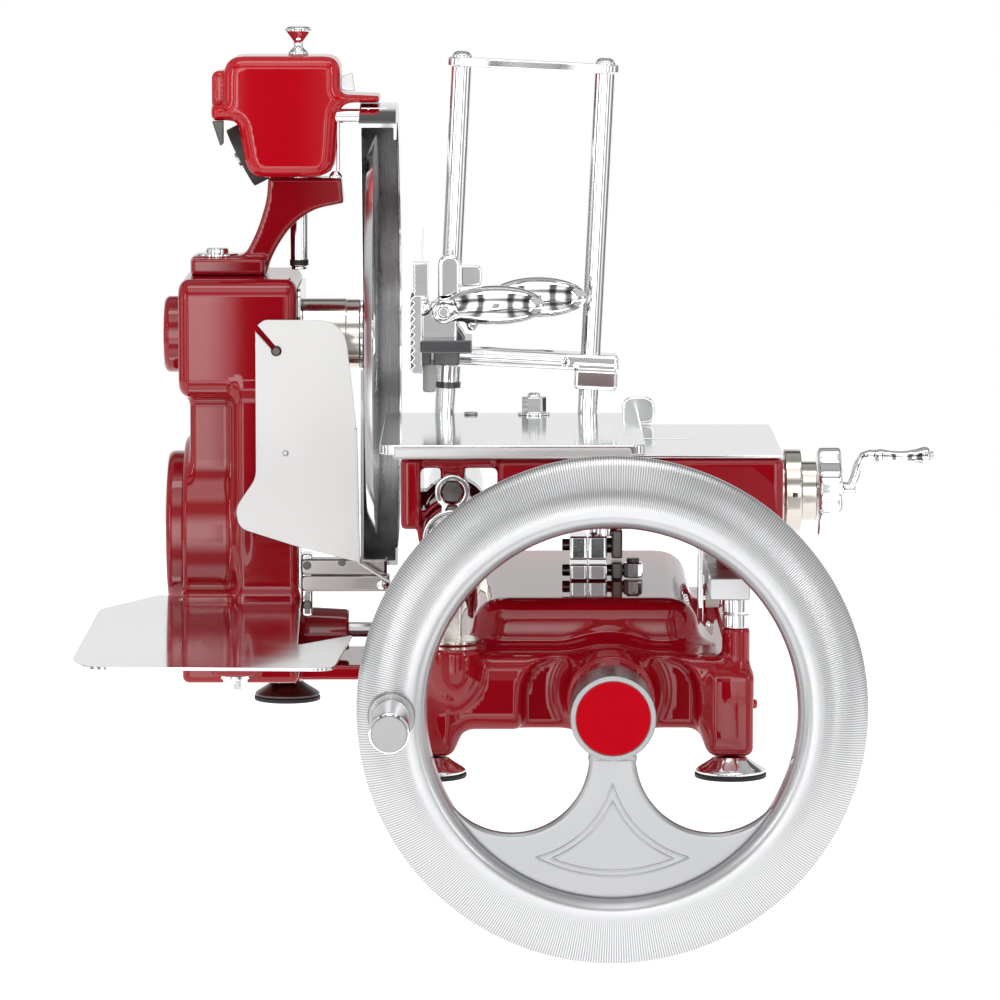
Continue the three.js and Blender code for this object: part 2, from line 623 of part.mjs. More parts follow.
function makeTrain() {
  const right = train.left + train.width;
  const up = Math.PI / 2;
  const meshAbove = (phase, teeth, teethAbove) => -up - ((phase - up) * teeth + Math.PI) / teethAbove;
  const largePhase = meshAbove(up, train.firstTeeth, train.largeTeeth);
  const smallPhase = meshAbove(largePhase, train.largeTeeth, train.smallTeeth);
  const bladePhase = meshAbove(smallPhase, train.smallTeeth, train.bladeTeeth);
  const gear = (teeth, phase, z) => prism('x', spurShape(teeth, train.module, phase, bladeAxis.y, z),
    train.left, right);
  const bored = (body, radius, z) => cut(body,
    disc('x', radius + gap, train.left - overrun, right + overrun, bladeAxis.y, z));
  place('first_train_gear', 'steel', bored(gear(train.firstTeeth, up, driveAxis.z), crossShaft.radius,
    driveAxis.z));
  place('large_train_gear', 'steel', join(gear(train.largeTeeth, largePhase, largeZ),
    disc('x', journal.radius, journal.left, journal.right, bladeAxis.y, largeZ)));
  place('small_train_gear', 'steel', join(gear(train.smallTeeth, smallPhase, smallZ),
    disc('x', journal.radius, journal.left, journal.right, bladeAxis.y, smallZ)));
  place('blade_gear', 'steel', bored(gear(train.bladeTeeth, bladePhase, bladeAxis.z), bladeShaft.radius,
    bladeAxis.z));
}

// Domed cover's profile: share of its radius, and share of its thickness
const coverProfileShares = [[0.55, 1], [0.82, 0.85], [0.95, 0.6], [1, 0.3], [1, 0]];

// Column: foot, drum, neck and head in one casting, with the gear train's chamber inside
function makeColumn() {
  const c = column;
  const y = bladeAxis.y;
  const foot = prism('z', rectangle(c.drumLeft, c.right, c.front, c.back, c.footEdge), c.bottom, c.footTop);
  const drum = disc('x', c.drumRadius, c.drumLeft, c.drumRight, y, largeZ, hugeSides);
  const neck = box(c.neckLeft, c.right, c.neckFront, c.neckBack, c.footTop - overrun, c.headBottom + overrun);
  const backbone = prism('z', rectangle(c.backboneLeft, c.right, c.front, c.back, c.footEdge),
    c.footTop - overrun,
    c.headBottom + overrun);
  const head = prism('x', rectangle(c.headFront, c.headBack, c.headBottom, c.headTop, c.headCorner), c.left,
    c.right,
    c.headEdge);
  const boss = turned('x', [[c.bossRootRadius, c.right - overrun], [c.bossTipRadius, c.bossEnd]], y,
    driveAxis.z,
    largeSides);
  const ledge = box(trayStud.x - trayLedge.halfWidth, trayStud.x + trayLedge.halfWidth, trayLedge.front,
    c.front + overrun, trayLedge.bottom, trayLedge.bottom + trayLedge.height);
  const leg = box(feet.columnX - base.legWidth / 2, c.right - overrun,
    feet.backY - base.legWidth / 2, feet.backY + base.legWidth / 2, feet.height, c.bottom + overrun);
  const chamber = [[firstRadius, driveAxis.z], [largeRadius, largeZ], [smallRadius, smallZ],
    [firstRadius, bladeAxis.z]]
    .map(([radius, z]) => disc('x', radius + c.cavityRoom, c.cavityLeft, c.cavityRight, y, z, largeSides));
  const slot = box(c.cavityLeft, c.cavityRight, y - firstRadius, y + firstRadius, driveAxis.z, bladeAxis.z);
  const openings = [
    disc('x', c.drumOpening, c.left - overrun, c.cavityLeft + overrun, y, largeZ, largeSides),
    disc('x', c.headOpening, c.left - overrun, c.cavityLeft + overrun, y, bladeAxis.z, largeSides),
  ];
  const bores = [
    disc('x', crossShaft.radius + gap, journal.left - gap, c.bossEnd + overrun, y, driveAxis.z),
    disc('x', journal.radius + gap, c.cavityRight - overrun, journal.right + gap, y, largeZ),
    disc('x', journal.radius + gap, journal.left - gap, journal.right + gap, y, smallZ),
    disc('x', bladeShaft.radius + gap, c.cavityRight - overrun, c.right + overrun, y, bladeAxis.z,
      largeSides),
  ];
  const hookPin = disc('y', deflector.pinRadius, deflector.front - deflector.pinProud, c.front + overrun,
    deflector.x,
    deflector.z, smallSides);
  const studHole = disc('z', trayStud.radius + gap, column.bottom, tray.top, trayStud.x, trayStud.y,
    smallSides);
  place('column_housing', 'redPaint', cut(join(foot, drum, neck, backbone, head, boss, ledge, leg, hookPin),
    ...chamber,
    slot, ...openings, ...bores, studHole));
  const coverRight = c.drumLeft - gap;
  place('round_side_cover', 'chrome', turned('x', coverProfileShares.map(([wide, out]) =>
    [wide * roundCover.radius, coverRight - out * roundCover.thickness]), y, largeZ, hugeSides));
  const capRight = c.left - gap;
  place('shaft_end_cap', 'redPaint', turned('x', [
    [endCap.faceRadius, capRight - endCap.thickness + endCap.step / 2], [endCap.faceRadius + endCap.step,
      capRight - endCap.thickness], [endCap.radius - endCap.step, capRight - endCap.thickness],
    [endCap.radius, capRight - endCap.thickness + endCap.step], [endCap.radius, capRight],
  ], y, bladeAxis.z, largeSides));
  const plateLeft = c.right + gap;
  place('column_face_plate', 'chrome', cut(
    prism('x', rectangle(facePlate.front, facePlate.back, facePlate.bottom, facePlate.top,
      facePlate.corner), plateLeft,
      plateLeft + facePlate.thickness),
    disc('x', spindle.radius + gap, plateLeft - overrun, plateLeft + facePlate.thickness + overrun, y,
      bladeAxis.z,
      largeSides)));
}

// Blade, its spindle and the ring guard round its far side
function makeBladeGroup() {
  const { y, z } = bladeAxis;
  const spindleLeft = column.right + gap;
  place('spindle_housing', 'nickel', cut(turned('x', [
    [spindle.radius, spindleLeft], [spindle.radius, spindle.seam],
    [spindle.radius - spindle.seamDepth, spindle.seam],
    [spindle.radius - spindle.seamDepth, spindle.end],
  ], y, z, largeSides), disc('x', bladeShaft.radius + gap, spindleLeft - overrun, spindle.end + overrun, y, z,
    largeSides)));
  const g = guard;
  const band = prism('x', ringSector(g.inner, g.outer, g.startDeg, g.endDeg, y, z), g.left, g.right, 0,
    ringSteps);
  const backPlate = prism('x', ringSector(g.plateHole, g.outer - overrun, g.startDeg, g.endDeg, y, z), g.left,
    g.left + g.plateThickness, 0, ringSteps);
  const lip = prism('x', ringSector(g.lipInner, g.outer - overrun, g.startDeg, g.endDeg, y, z),
    g.right - g.lipThickness,
    g.right, 0, ringSteps);
  const eye = cut(disc('x', spindle.radius, g.left, g.left + g.plateThickness, y, z, largeSides),
    disc('x', g.plateHole, g.left - overrun, g.left + overrun + g.plateThickness, y, z));
  place('blade_guard', 'chrome', join(band, backPlate, lip, eye));
  const b = blade;
  const blank = turned('x', [
    [b.hubRadius, b.hubLeft], [b.hubRadius, b.plateLeft], [b.grooveRadius, b.plateLeft],
    [b.bevelRadius, b.plateLeft + gap], [b.radius, b.edgeX - gap], [b.radius, b.edgeX],
    [b.bevelRadius, b.plateRight + gap], [b.grooveRadius, b.plateRight],
  ], y, z, hugeSides);
  place('blade', 'blade', cut(blank, disc('x', bladeShaft.radius + gap, b.hubLeft - overrun, b.edgeX, y, z)));
  place('blade_shaft', 'steel', disc('x', bladeShaft.radius, bladeShaft.left, bladeShaft.right, y, z));
  place('blade_nut', 'chrome', cut(
    disc('x', bladeNut.radius, bladeNut.left, bladeNut.right, y, z, smallSides),
    disc('x', bladeShaft.radius + gap, bladeNut.left - overrun, bladeNut.right + overrun, y, z)));
}

// Sharpener: curved arm on the head, hood with its lift post, and the grinding wheel under it
// The arm's two edges, as shares of its width and height: up its outer edge, and up its inner edge
const armOuterShares = [[0, 0.251], [0.138, 0.506], [0.23, 0.795], [0.246, 1]];
const armInnerShares = [[0.302, 0.306], [0.466, 0.544], [0.698, 0.706], [1, 0.763], [0.98, 1]];

function makeSharpener() {
  const n = neckBlock;
  const armTop = hood.bottom - gap;
  const at = ([across, up]) => [arm.left + across * (arm.right - arm.left),
    arm.low + up * (armTop - arm.low)];
  const outline = [
    [n.left, n.bottomZ], [n.right, n.bottomZ], ...armInnerShares.map(at), ...armOuterShares.map(at).reverse(),
    [n.left, n.topZ],
  ];
  const armShape = rounded(outline, n.edge);
  const neck = box(n.left + n.edge, n.right, n.front, n.back, n.bottomZ, n.topZ);
  const armSolid = join(prism('y', armShape, arm.front, arm.back), neck);
  const cap = join(disc('z', armCap.radius, n.topZ - overrun, n.topZ + armCap.height, armCap.x, bladeAxis.y),
    disc('z', armCap.nutRadius, n.topZ, n.topZ + armCap.height + armCap.nutHeight, armCap.x, bladeAxis.y,
      smallSides));
  place('sharpener_arm', 'redPaint', cut(join(armSolid, cap),
    disc('z', post.radius + gap, n.bottomZ, hood.bottom, post.x, bladeAxis.y)));
}

// Corner radii round the hood's front view, as shares of its edge radius
const hoodCornerShares = [2, 0.5, 0.25, 0.25, 0.5, 1.5, 2.25, 1.75, 0.25, 0.25, 1.25, 2];
// Knob profile: share of its greatest radius, and share of its height
const knobProfileShares = [[0.74, 0], [0.74, 0.08], [0.3, 0.3], [0.3, 0.45], [1, 0.9], [0.8, 1]];

// The hood and what hangs in it lift together on the post
function makeHood() {
  const h = hood;
  const y = bladeAxis.y;
  const outline = rounded([
    [h.left, h.top], [h.left, h.flangeZ], [h.flangeLeft, h.flangeZ - h.edge / 4], [h.flangeLeft, h.shelfZ],
    [h.lowerLeft - h.edge, h.shelfZ], [h.lowerLeft, h.bottom], [h.lowerRight, h.bottom],
    [h.lowerRight + h.wall, h.flangeZ], [h.flangeRight, h.flangeZ], [h.flangeRight, h.flangeTop],
    [h.right, h.flangeTop], [h.right, h.top],
  ].reverse(), hoodCornerShares.map((share) => share * h.edge).reverse());
  const hollow = box(h.left + h.edge, h.lowerRight - h.wall, h.front + h.edge, h.back - h.edge,
    h.bottom - overrun,
    h.top - h.edge);
  const sleeve = disc('z', post.radius + h.wall, h.bottom, h.top - h.edge / 2, post.x, y);
  const sideGap = box(h.flangeLeft - overrun, h.lowerLeft + h.edge, h.front + h.edge, h.back - h.edge,
    h.bottom - overrun, h.shelfZ + h.edge / 2);
  place('sharpener_hood', 'brightRed', cut(join(cut(prism('y', outline, h.front, h.back), hollow,
    sideGap), sleeve),
  disc('z', post.radius + gap, h.bottom - overrun, h.top - h.edge, post.x, y)));
  place('sharpener_post', 'chrome', turned('z', [
    [post.radius - gap, post.bottom], [post.radius, post.bottom + post.tipHeight],
    [post.radius, h.top - h.edge - gap],
  ], post.x, y));
  const k = knob;
  const seatZ = h.top + gap;
  place('sharpener_knob', 'chrome', turned('z', knobProfileShares.map(([wide, up]) =>
    [wide * k.radius, seatZ + up * k.height]), post.x, y, largeSides));
}

// The grinding wheel leans over and turns on its own pin, which stands on a bracket inside the hood
function stoneAxis() {
  const tilt = THREE.MathUtils.degToRad(stone.tiltDeg);
  return new THREE.Vector3(Math.cos(tilt), 0, Math.sin(tilt));
}

function makeStone() {
  const middle = new THREE.Vector3(stone.x, bladeAxis.y, stone.z);
  const axis = stoneAxis();
  const at = (along) => middle.clone().addScaledVector(axis, along);
  const half = stone.width / 2;
  place('grinding_wheel', 'stone', cut(rod(at(-half), at(half), stone.radius, largeSides),
    rod(at(-half - overrun), at(half + overrun), stone.pinRadius + gap, smallSides)));
  const root = at(half + stone.pinReach);
  const pin = rod(at(-half - stone.pinHead), root, stone.pinRadius, smallSides);
  const shoulder = rod(at(half + gap), root, stone.shoulderRadius, smallSides);
  const head = rod(at(-half - stone.pinHead), at(-half - gap), stone.shoulderRadius, smallSides);
  const sleeveLeft = post.x - post.radius - hood.wall;
  const bracket = box(root.x - stone.pinRadius, sleeveLeft - gap, bladeAxis.y - stone.shoulderRadius,
    bladeAxis.y + stone.shoulderRadius, root.z - stone.shoulderRadius, root.z + stone.shoulderRadius);
  place('grinding_wheel_pin', 'steel', join(pin, shoulder, head, bracket));
}

// Carriage: a casting open below that runs on the guide bars, with its cover, link block and roller
function makeCarriage() {
  const c = carriage;
  const shell = cut(
    prism('z', rectangle(c.left, c.right, c.front, c.back, c.edge), c.bottom, c.top),
    box(c.left + c.wall, c.right - c.wall, c.front + c.wall, c.back - c.wall, c.bottom - overrun,
      c.top - c.roof));
  const rib = box(c.left + overrun, c.right - overrun, -c.ribHalfWidth, c.ribHalfWidth, c.bottom,
    c.bottom + c.ribHeight);
  const wing = box(c.wingLeft, c.wingLeft + c.wingWall, c.front, c.webBack, c.bottom, c.top);
  const web = box(c.wingLeft + overrun, c.left + overrun, c.front + c.wall, c.webBack - c.wall, c.webBottom,
    c.top);
  const sleeve = (from, length) => join(
    disc('y', c.sleeveRadius, from, from + length, mainBar.x, mainBar.z, largeSides),
    box(mainBar.x - c.sleeveHalfWidth, mainBar.x + c.sleeveHalfWidth, from, from + length, mainBar.z,
      c.webBottom + overrun));
  const sleeves = join(sleeve(c.sleeveFront, c.sleeveLength), sleeve(c.rearSleeveY, c.rearSleeveLength));
  const shoe = box(c.shoeLeft, c.shoeRight, c.shoeFront, c.shoeBack, sideBar.top + gap, c.bottom + overrun);
  const shoeRoot = box(c.shoeLeft, c.shoeRight, c.shoeFront, c.shoeBack, c.bottom, c.bottom + c.ribHeight);
  const slot = lugSlot(c.top - c.roof - overrun, c.top + overrun);
  const barBore = disc('y', mainBar.radius + gap, c.front - overrun, c.back, mainBar.x, mainBar.z,
    largeSides);
  const screwBore = disc('x', feed.screwRadius + gap, c.right - c.wall - overrun, c.right + overrun, feed.y,
    feed.z);
  place('carriage_casting', 'redPaint', cut(join(shell, rib, wing, web, sleeves, shoe, shoeRoot), slot,
    barBore,
    screwBore));
  const top = c.top + gap;
  place('carriage_cover_plate', 'sheet', cut(
    prism('z', rectangle(c.left, c.right, c.front, c.back, c.edge), top, top + coverPlate.thickness),
    lugSlot(top - overrun, top + coverPlate.thickness + overrun)));
}

// The slot that the table's lug travels along, in the roof and its cover
function lugSlot(low, high) {
  const { lugLeft, lugRight, lugFront, lugBack, slotRoom, travel } = table;
  return box(lugLeft - slotRoom, lugRight + travel + slotRoom, lugFront - slotRoom, lugBack + slotRoom, low,
    high);
}

function makeLinkBlocks() {
  const l = linkBlock;
  const bolt = (z) => disc('x', l.boltRadius, l.left - l.boltLength, l.left + overrun, 0, z, smallSides);
  const block = (low, high) => prism('z', rectangle(l.left, l.right, -l.halfWidth, l.halfWidth,
    l.boltLength), low, high);
  place('link_block_upper', 'chrome', join(block(l.upperBottom, l.upperTop),
    disc('z', l.stemRadius, l.upperTop - overrun, carriage.bottom - gap, l.stemX, 0),
    bolt((l.upperBottom + l.upperTop) / 2)));
  place('link_block_lower', 'chrome', join(block(hump.top + gap, l.lowerTop),
    bolt((hump.top + l.lowerTop) / 2)));
}

// Hold-down roller: it runs under the inner edge of the side bar, on a bracket that hangs from the carriage
function makeRoller() {
  const h = hook;
  const y = (h.front + h.back) / 2;
  const z = sideBar.bottom - gap - roller.radius;
  place('roller_bracket', 'chrome', join(
    box(h.plateLeft, h.plateRight, h.front, h.back, h.bottom, carriage.bottom - gap),
    disc('x', h.pinRadius, h.plateRight - overrun, h.pinEnd, y, z, smallSides),
    disc('x', h.shoulderRadius, h.plateRight - overrun, roller.left - gap, y, z, smallSides)));
  place('hold_down_roller', 'nylon', cut(disc('x', roller.radius, roller.left, roller.right, y, z),
    disc('x', h.pinRadius + gap, roller.left - overrun, roller.right + overrun, y, z, smallSides)));
}

// Table: polished plate with a turned-down front lip and the lug that the feed screw drives
function makeTable() {
  const t = table;
  const underside = carriage.top + gap + coverPlate.thickness + gap;
  const plate = prism('z', rectangle(t.left, t.right, t.front, t.back, t.cornerRadius), underside, t.top);
  const lipBack = carriage.front - 2 * gap;
  const lip = prism('x', rectangle(t.front, lipBack, t.lipBottom, t.top, (lipBack - t.front) / 2),
    t.left + t.cornerRadius, t.right - t.cornerRadius);
  const lug = box(t.lugLeft, t.lugRight, t.lugFront, t.lugBack, t.lugBottom, underside + gap);
  place('table_plate', 'sheet', cut(join(plate, lip, lug),
    disc('x', feed.screwRadius + gap, t.lugLeft - overrun, t.lugRight + overrun, feed.y, feed.z)));
  const k = tableKnob;
  const seat = t.top + gap;
  place('table_clamp_nut', 'chrome', join(
    disc('z', k.washerRadius, seat, seat + k.washerHeight, k.x, k.y),
    disc('z', k.radius, seat, seat + k.height, k.x, k.y, hexSides),
    disc('z', k.domeRadius, seat, seat + k.height + k.domeHeight, k.x, k.y, smallSides)));
}

// The clamp frame leans a little towards the feed crank; its own frame has Z along the rods
const tilt = THREE.MathUtils.degToRad(frameRods.tiltDeg);
const rodUp = new THREE.Vector3(Math.sin(tilt), 0, Math.cos(tilt));
const rodAcross = new THREE.Vector3(Math.cos(tilt), 0, -Math.sin(tilt));
const rodMiddle = new THREE.Vector3((frameRods.leftX + frameRods.rightX) / 2, frameRods.y, table.top);
const rodHalf = (frameRods.rightX - frameRods.leftX) / 2 * Math.cos(tilt);

function leaned(manifold) {
  const move = basis(rodAcross, alongY, rodUp).setPosition(rodMiddle);
  return solid(surface(manifold).applyMatrix4(move));
}

function makeFrameRods() {
  const r = frameRods;
  const seat = r.radius * Math.sin(tilt) + 2 * gap;
  const height = r.topZ - table.top;
  const drop = rodHalf * Math.tan(tilt);
  place('press_rod_left', 'chrome', leaned(disc('z', r.radius, seat - drop, height, -rodHalf, 0)));
  place('press_rod_right', 'chrome', leaned(disc('z', r.radius, seat + drop, height, rodHalf, 0)));
  const low = height + gap;
  const b = topBar;
  const bar = prism('z', rectangle(-rodHalf - b.endRadius, rodHalf + b.endRadius, -b.depth / 2, b.depth / 2,
    b.endRadius), low, low + b.height);
  const nuts = [-rodHalf, rodHalf].map((x) => turned('z', [
    [b.nutRadius, low + b.height - gap], [b.nutRadius, low + b.height + b.nutEdge],
    [b.nutFace, low + b.height + b.nutHeight],
  ], x, 0, smallSides));
  place('rod_top_bar', 'chrome', leaned(join(bar, ...nuts)));
}

function makePress() {
  const p = press;
  const front = p.front - frameRods.y;
  const back = p.back - frameRods.y;
  const left = -rodHalf - p.leftReach;
  const right = rodHalf + p.rightReach;
  const low = p.bottomAbove;
  const bar = prism('x', rectangle(front, back, low, low + p.height, p.edge), left, right);
  const end = box(right - p.endLength, right, front, back, low - p.endDrop, low + p.edge);
  const necks = disc('z', p.collarRadius, low - p.collarDrop, low + p.edge, -rodHalf, 0);
  const bores = [-rodHalf, rodHalf].map((x) =>
    disc('z', frameRods.radius + gap, low - p.collarDrop - overrun, low + p.height + overrun, x, 0));
  place('press_bar', 'chrome', cut(leaned(join(bar, end, necks)), ...bores.map(leaned)));
}

// Gripper: toothed plate on the press bar's blade end, and the leaf lever that works it
function makeGripper() {
  const g = gripper;
  const right = g.left + g.thickness;
  const pitch = (g.top - g.bottom) / g.teeth;
  const points = [];
  for (let i = 0; i < g.teeth; i += 1) {
    points.push([g.left, g.bottom + i * pitch], [g.left - g.toothDepth, g.bottom + (i + 1 / 2) * pitch]);
  }
  points.push([g.left, g.top], [right, g.top], [right, g.bottom]);
  const plate = prism('y', rounded(points, 0), g.front, g.back);
  const armSolid = box(right - overrun, g.armRight, g.front, g.back, g.pressTop, g.pressTop + g.armHeight);
  const ear = prism('y', rounded([
    [right - gap, g.pressTop + gap], [g.earRight, g.pressTop + gap], [g.pivotX + g.pivotRadius, g.pivotZ],
    [g.pivotX + g.pivotRadius / Math.SQRT2, g.pivotZ + g.pivotRadius / Math.SQRT2],
    [g.pivotX - g.pivotRadius, g.pivotZ + g.pivotRadius],
    [right - gap, g.pivotZ],
  ], 0), g.earFront, g.earBack);
  const pin = disc('y', g.pinRadius, g.front, g.back, g.pivotX, g.pivotZ, smallSides);
  place('gripper_plate', 'chrome', join(plate, armSolid, ear, pin));
  const l = lever;
  const side = (x, y, z, length, width, height, from, to) => {
    const hub = disc('y', l.hubRadius, from, to, g.pivotX, g.pivotZ);
    const web = rod(new THREE.Vector3(g.pivotX, (from + to) / 2, g.pivotZ), new THREE.Vector3(x, y, z),
      height * l.webShare);
    return join(egg(x, y, z, length, width, height), hub, web);
  };
  const near = side(l.nearX, l.nearY, l.nearZ, l.nearLength, l.nearWidth, l.nearHeight, g.front,
    g.earFront - gap);
  const far = side(l.farX, l.farY, l.farZ, l.farLength, l.farWidth, l.farHeight, g.earBack + gap, g.back);
  const tie = rod(new THREE.Vector3(l.tieX, l.nearY, l.nearZ), new THREE.Vector3(l.tieX, l.farY, l.farZ),
    l.tieRadius,
    smallSides);
  const bore = disc('y', g.pinRadius + gap, g.front - l.hubRadius, g.back + l.hubRadius, g.pivotX, g.pivotZ);
  place('gripper_lever', 'chrome', cut(join(near, far, tie), bore));
}

// Feed end: collar on the carriage, thickness ring, lobed handwheel with its crank and grip
function makeFeed() {
  const f = feed;
  const screwHole = (low, high) => disc('x', f.screwRadius + gap, low, high, f.y, f.z);
  const start = carriage.right + gap;
  place('feed_collar', 'nickel', cut(turned('x', [
    [f.neckRadius, start], [f.neckRadius, f.neckEnd], [f.collarRadius, f.neckEnd],
    [f.collarRadius, f.collarEnd],
  ], f.y, f.z, largeSides), screwHole(start - overrun, f.collarEnd + overrun)));
  place('thickness_ring', 'nickel', cut(disc('x', f.ringRadius, f.collarEnd + gap, f.ringEnd, f.y, f.z,
    largeSides),
    screwHole(f.collarEnd - overrun, f.ringEnd + overrun)));
  place('feed_screw', 'steel', disc('x', f.screwRadius, f.screwLeft, f.screwRight, f.y, f.z));
  const outline = [];
  const steps = f.lobes * feed.lobeSteps;
  for (let i = 0; i < steps; i += 1) {
    const angle = i / steps * 2 * Math.PI;
    const radius = f.wheelRadius - f.lobeDepth * (1 - Math.cos(f.lobes * angle)) / 2;
    outline.push(new THREE.Vector2(f.y + radius * Math.cos(angle), f.z + radius * Math.sin(angle)));
  }
  const lobed = prism('x', new THREE.Shape(outline), f.wheelStart, f.wheelEnd);
  const nub = disc('x', f.nubRadius, f.wheelEnd - overrun, f.nubEnd, f.y, f.z);
  const crankZ = f.z + f.throwHeight;
  const crankArm = rod(new THREE.Vector3(f.nubEnd - f.armRadius, f.y, f.z),
    new THREE.Vector3(f.gripStart - f.armRadius,
    f.y, crankZ), f.armRadius, smallSides);
  const elbow = egg(f.gripStart - f.armRadius, f.y, crankZ, f.armRadius, f.elbowRadius, f.elbowRadius);
  const pin = disc('x', f.pinRadius, f.gripStart - f.armRadius, f.pinEnd - gap, f.y, crankZ, smallSides);
  const head = disc('x', f.headRadius, f.pinEnd - gap, f.pinEnd + f.headLength, f.y, crankZ, smallSides);
  place('feed_handwheel', 'chrome', cut(join(lobed, nub, crankArm, elbow, pin, head),
    screwHole(f.wheelStart - overrun, f.screwRight + gap)));
  const length = f.pinEnd - f.gripStart;
  const grip = gripShares.map(([along, wide]) => [
    f.gripWaistRadius + (f.gripBulbRadius - f.gripWaistRadius) * wide,
      f.gripStart + f.gripRoom + along * (length
      - f.gripRoom - 2 * gap)]);
  place('feed_grip', 'chrome', cut(turned('x', grip, f.y, crankZ),
    disc('x', f.pinRadius + gap, f.gripStart, f.pinEnd + overrun, f.y, crankZ, smallSides)));
}

// Grip profile: share of its length, and share from waist to bulb
const gripShares = [[0, 0.35], [0.12, 0.5], [0.3, 0.1], [0.5, 0], [0.72, 0.4], [0.88, 1], [0.97, 0.8],
  [1, 0.4]];

// Slice deflector, hung on a pin of the column, and the receiving tray
// Outline: share of its width, share of its height, and corner radius as a share of its width
const deflectorOutlineShares = [
  [0.235, 1, 0.04], [0.171, 0.972, 0.03], [0.167, 0.879, 0], [0.167, 0.349, 0.08], [0.082, 0.287, 0.08],
  [0, 0.224, 0.12], [0.031, 0.142, 0.12], [0.475, 0.07, 0.02], [1, 0, 0.02], [0.968, 0.574, 0],
  [0.879, 1, 0.22],
];

function makeDeflector() {
  const d = deflector;
  const back = d.front + d.thickness;
  const width = d.right - d.left;
  const outline = deflectorOutlineShares.map(([across, up]) => [d.left + across * width,
    d.bottom + up * (d.top - d.bottom)]);
  const radii = deflectorOutlineShares.map(([, , round]) => round * width);
  const sheet = prism('y', rounded(outline, radii), d.front, back);
  const [cornerX, cornerZ] = [d.right, d.bottom];
  const lip = prism('y', rounded([
    [cornerX - d.thickness, cornerZ + d.thickness], [cornerX - d.thickness, cornerZ - d.thickness],
    [d.lipRight, d.lipBottom], [d.lipRight, d.lipBottom + 2 * d.thickness], [cornerX + d.thickness, cornerZ],
  ], 0), d.front - d.lipDepth, back);
  const slotHole = disc('y', d.holeRadius, d.front - overrun, back + overrun, d.x, d.z, smallSides);
  const mouthX = outline[2][0] - overrun;
  const slotWay = prism('y', rounded([
    [d.x - d.slotHalfWidth, d.z - d.slotHalfWidth], [d.x + d.slotHalfWidth, d.z + d.slotHalfWidth],
    [mouthX, d.z + d.slotRise - overrun], [mouthX, d.z + d.slotRise - 3 * d.slotHalfWidth],
  ], 0), d.front - overrun, back + overrun);
  place('deflector_plate', 'sheet', cut(join(sheet, lip), slotHole, slotWay));
}

// Outline: share of its width, share of its length, and corner radius as a share of its width
const trayFrontShares = [
  [0, 0.106, 0.05], [0.064, 0.019, 0.07], [0.951, 0, 0.07], [1, 0.43, 0.03], [0.804, 0.298, 0.03],
];
const trayBackShares = [[0.211, 1, 0.02], [0.005, 0.791, 0.06]];

function makeTray() {
  const low = tray.top - tray.thickness;
  const [width, length] = [tray.right - tray.left, tray.back - tray.front];
  const at = ([across, along]) => [tray.left + across * width, tray.front + along * length];
  const notchY = column.front - tray.drumGap;
  const drumX = column.left - tray.drumGap;
  const outline = [...trayFrontShares.map(at), [column.right + tray.sideGap, notchY], [drumX, notchY],
    [drumX, tray.back - tray.backLean], ...trayBackShares.map(at)];
  const roundOf = ([, , round]) => round * width;
  const radii = [...trayFrontShares.map(roundOf), 0, 0, 0, ...trayBackShares.map(roundOf)];
  place('receiving_tray', 'sheet', prism('z', rounded(outline, radii), low, tray.top));
  const s = trayStud;
  const washerTop = trayLedge.bottom - gap;
  const nutTop = washerTop - s.washerHeight;
  place('tray_stud', 'chrome', join(
    disc('z', s.radius, nutTop - s.nutHeight, low - gap, s.x, s.y, smallSides),
    disc('z', s.washerRadius, nutTop, washerTop, s.x, s.y),
    disc('z', s.nutRadius, nutTop - s.nutHeight, nutTop + gap, s.x, s.y, hexSides)));
}

makeFeet();
makeBase();
makeGuideBars();
makeFlywheel();
makeHandle();
makeDrive();
makeTrain();
makeColumn();
makeBladeGroup();
makeSharpener();
makeHood();
makeStone();
makeCarriage();
makeLinkBlocks();
makeRoller();
makeTable();
makeFrameRods();
makePress();
makeGripper();
makeFeed();
makeDeflector();
makeTray();

export default group;
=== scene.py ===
import json
from math import radians, tau
import bmesh
import bpy
import numpy as np
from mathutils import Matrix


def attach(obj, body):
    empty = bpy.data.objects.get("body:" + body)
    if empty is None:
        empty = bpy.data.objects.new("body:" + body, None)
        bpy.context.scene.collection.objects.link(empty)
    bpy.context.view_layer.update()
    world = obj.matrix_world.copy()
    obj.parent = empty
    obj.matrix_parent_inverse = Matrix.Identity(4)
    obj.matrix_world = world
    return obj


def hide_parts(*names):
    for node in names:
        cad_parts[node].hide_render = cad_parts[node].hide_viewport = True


# Hand crank meat slicer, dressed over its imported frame. Lengths below are millimetres, turned to metres in addPiece.
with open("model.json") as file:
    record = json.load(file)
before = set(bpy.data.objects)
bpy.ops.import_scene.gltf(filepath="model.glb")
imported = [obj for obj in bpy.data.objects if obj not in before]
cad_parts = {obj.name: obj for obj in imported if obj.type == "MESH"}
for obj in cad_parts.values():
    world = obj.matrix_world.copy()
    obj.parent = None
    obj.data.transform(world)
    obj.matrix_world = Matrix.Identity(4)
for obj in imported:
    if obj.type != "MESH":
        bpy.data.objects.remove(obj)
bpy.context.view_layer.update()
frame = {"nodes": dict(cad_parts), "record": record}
scene = bpy.context.scene
millimetre = 0.001
driveX, driveZ = 52.4, 64.0
bladeY, bladeZ = 150.0, 304.0
driveAxis = ("y", (driveX, driveZ))    # the flywheel turns about this line along Y
bladeAxis = ("x", (bladeY, bladeZ))    # the blade turns about this line along X
tiny = 1e-9                            # keeps divisions away from zero
closest = 1e-4                         # points of a line nearer than this are one
endless = 500                          # further than any piece reaches

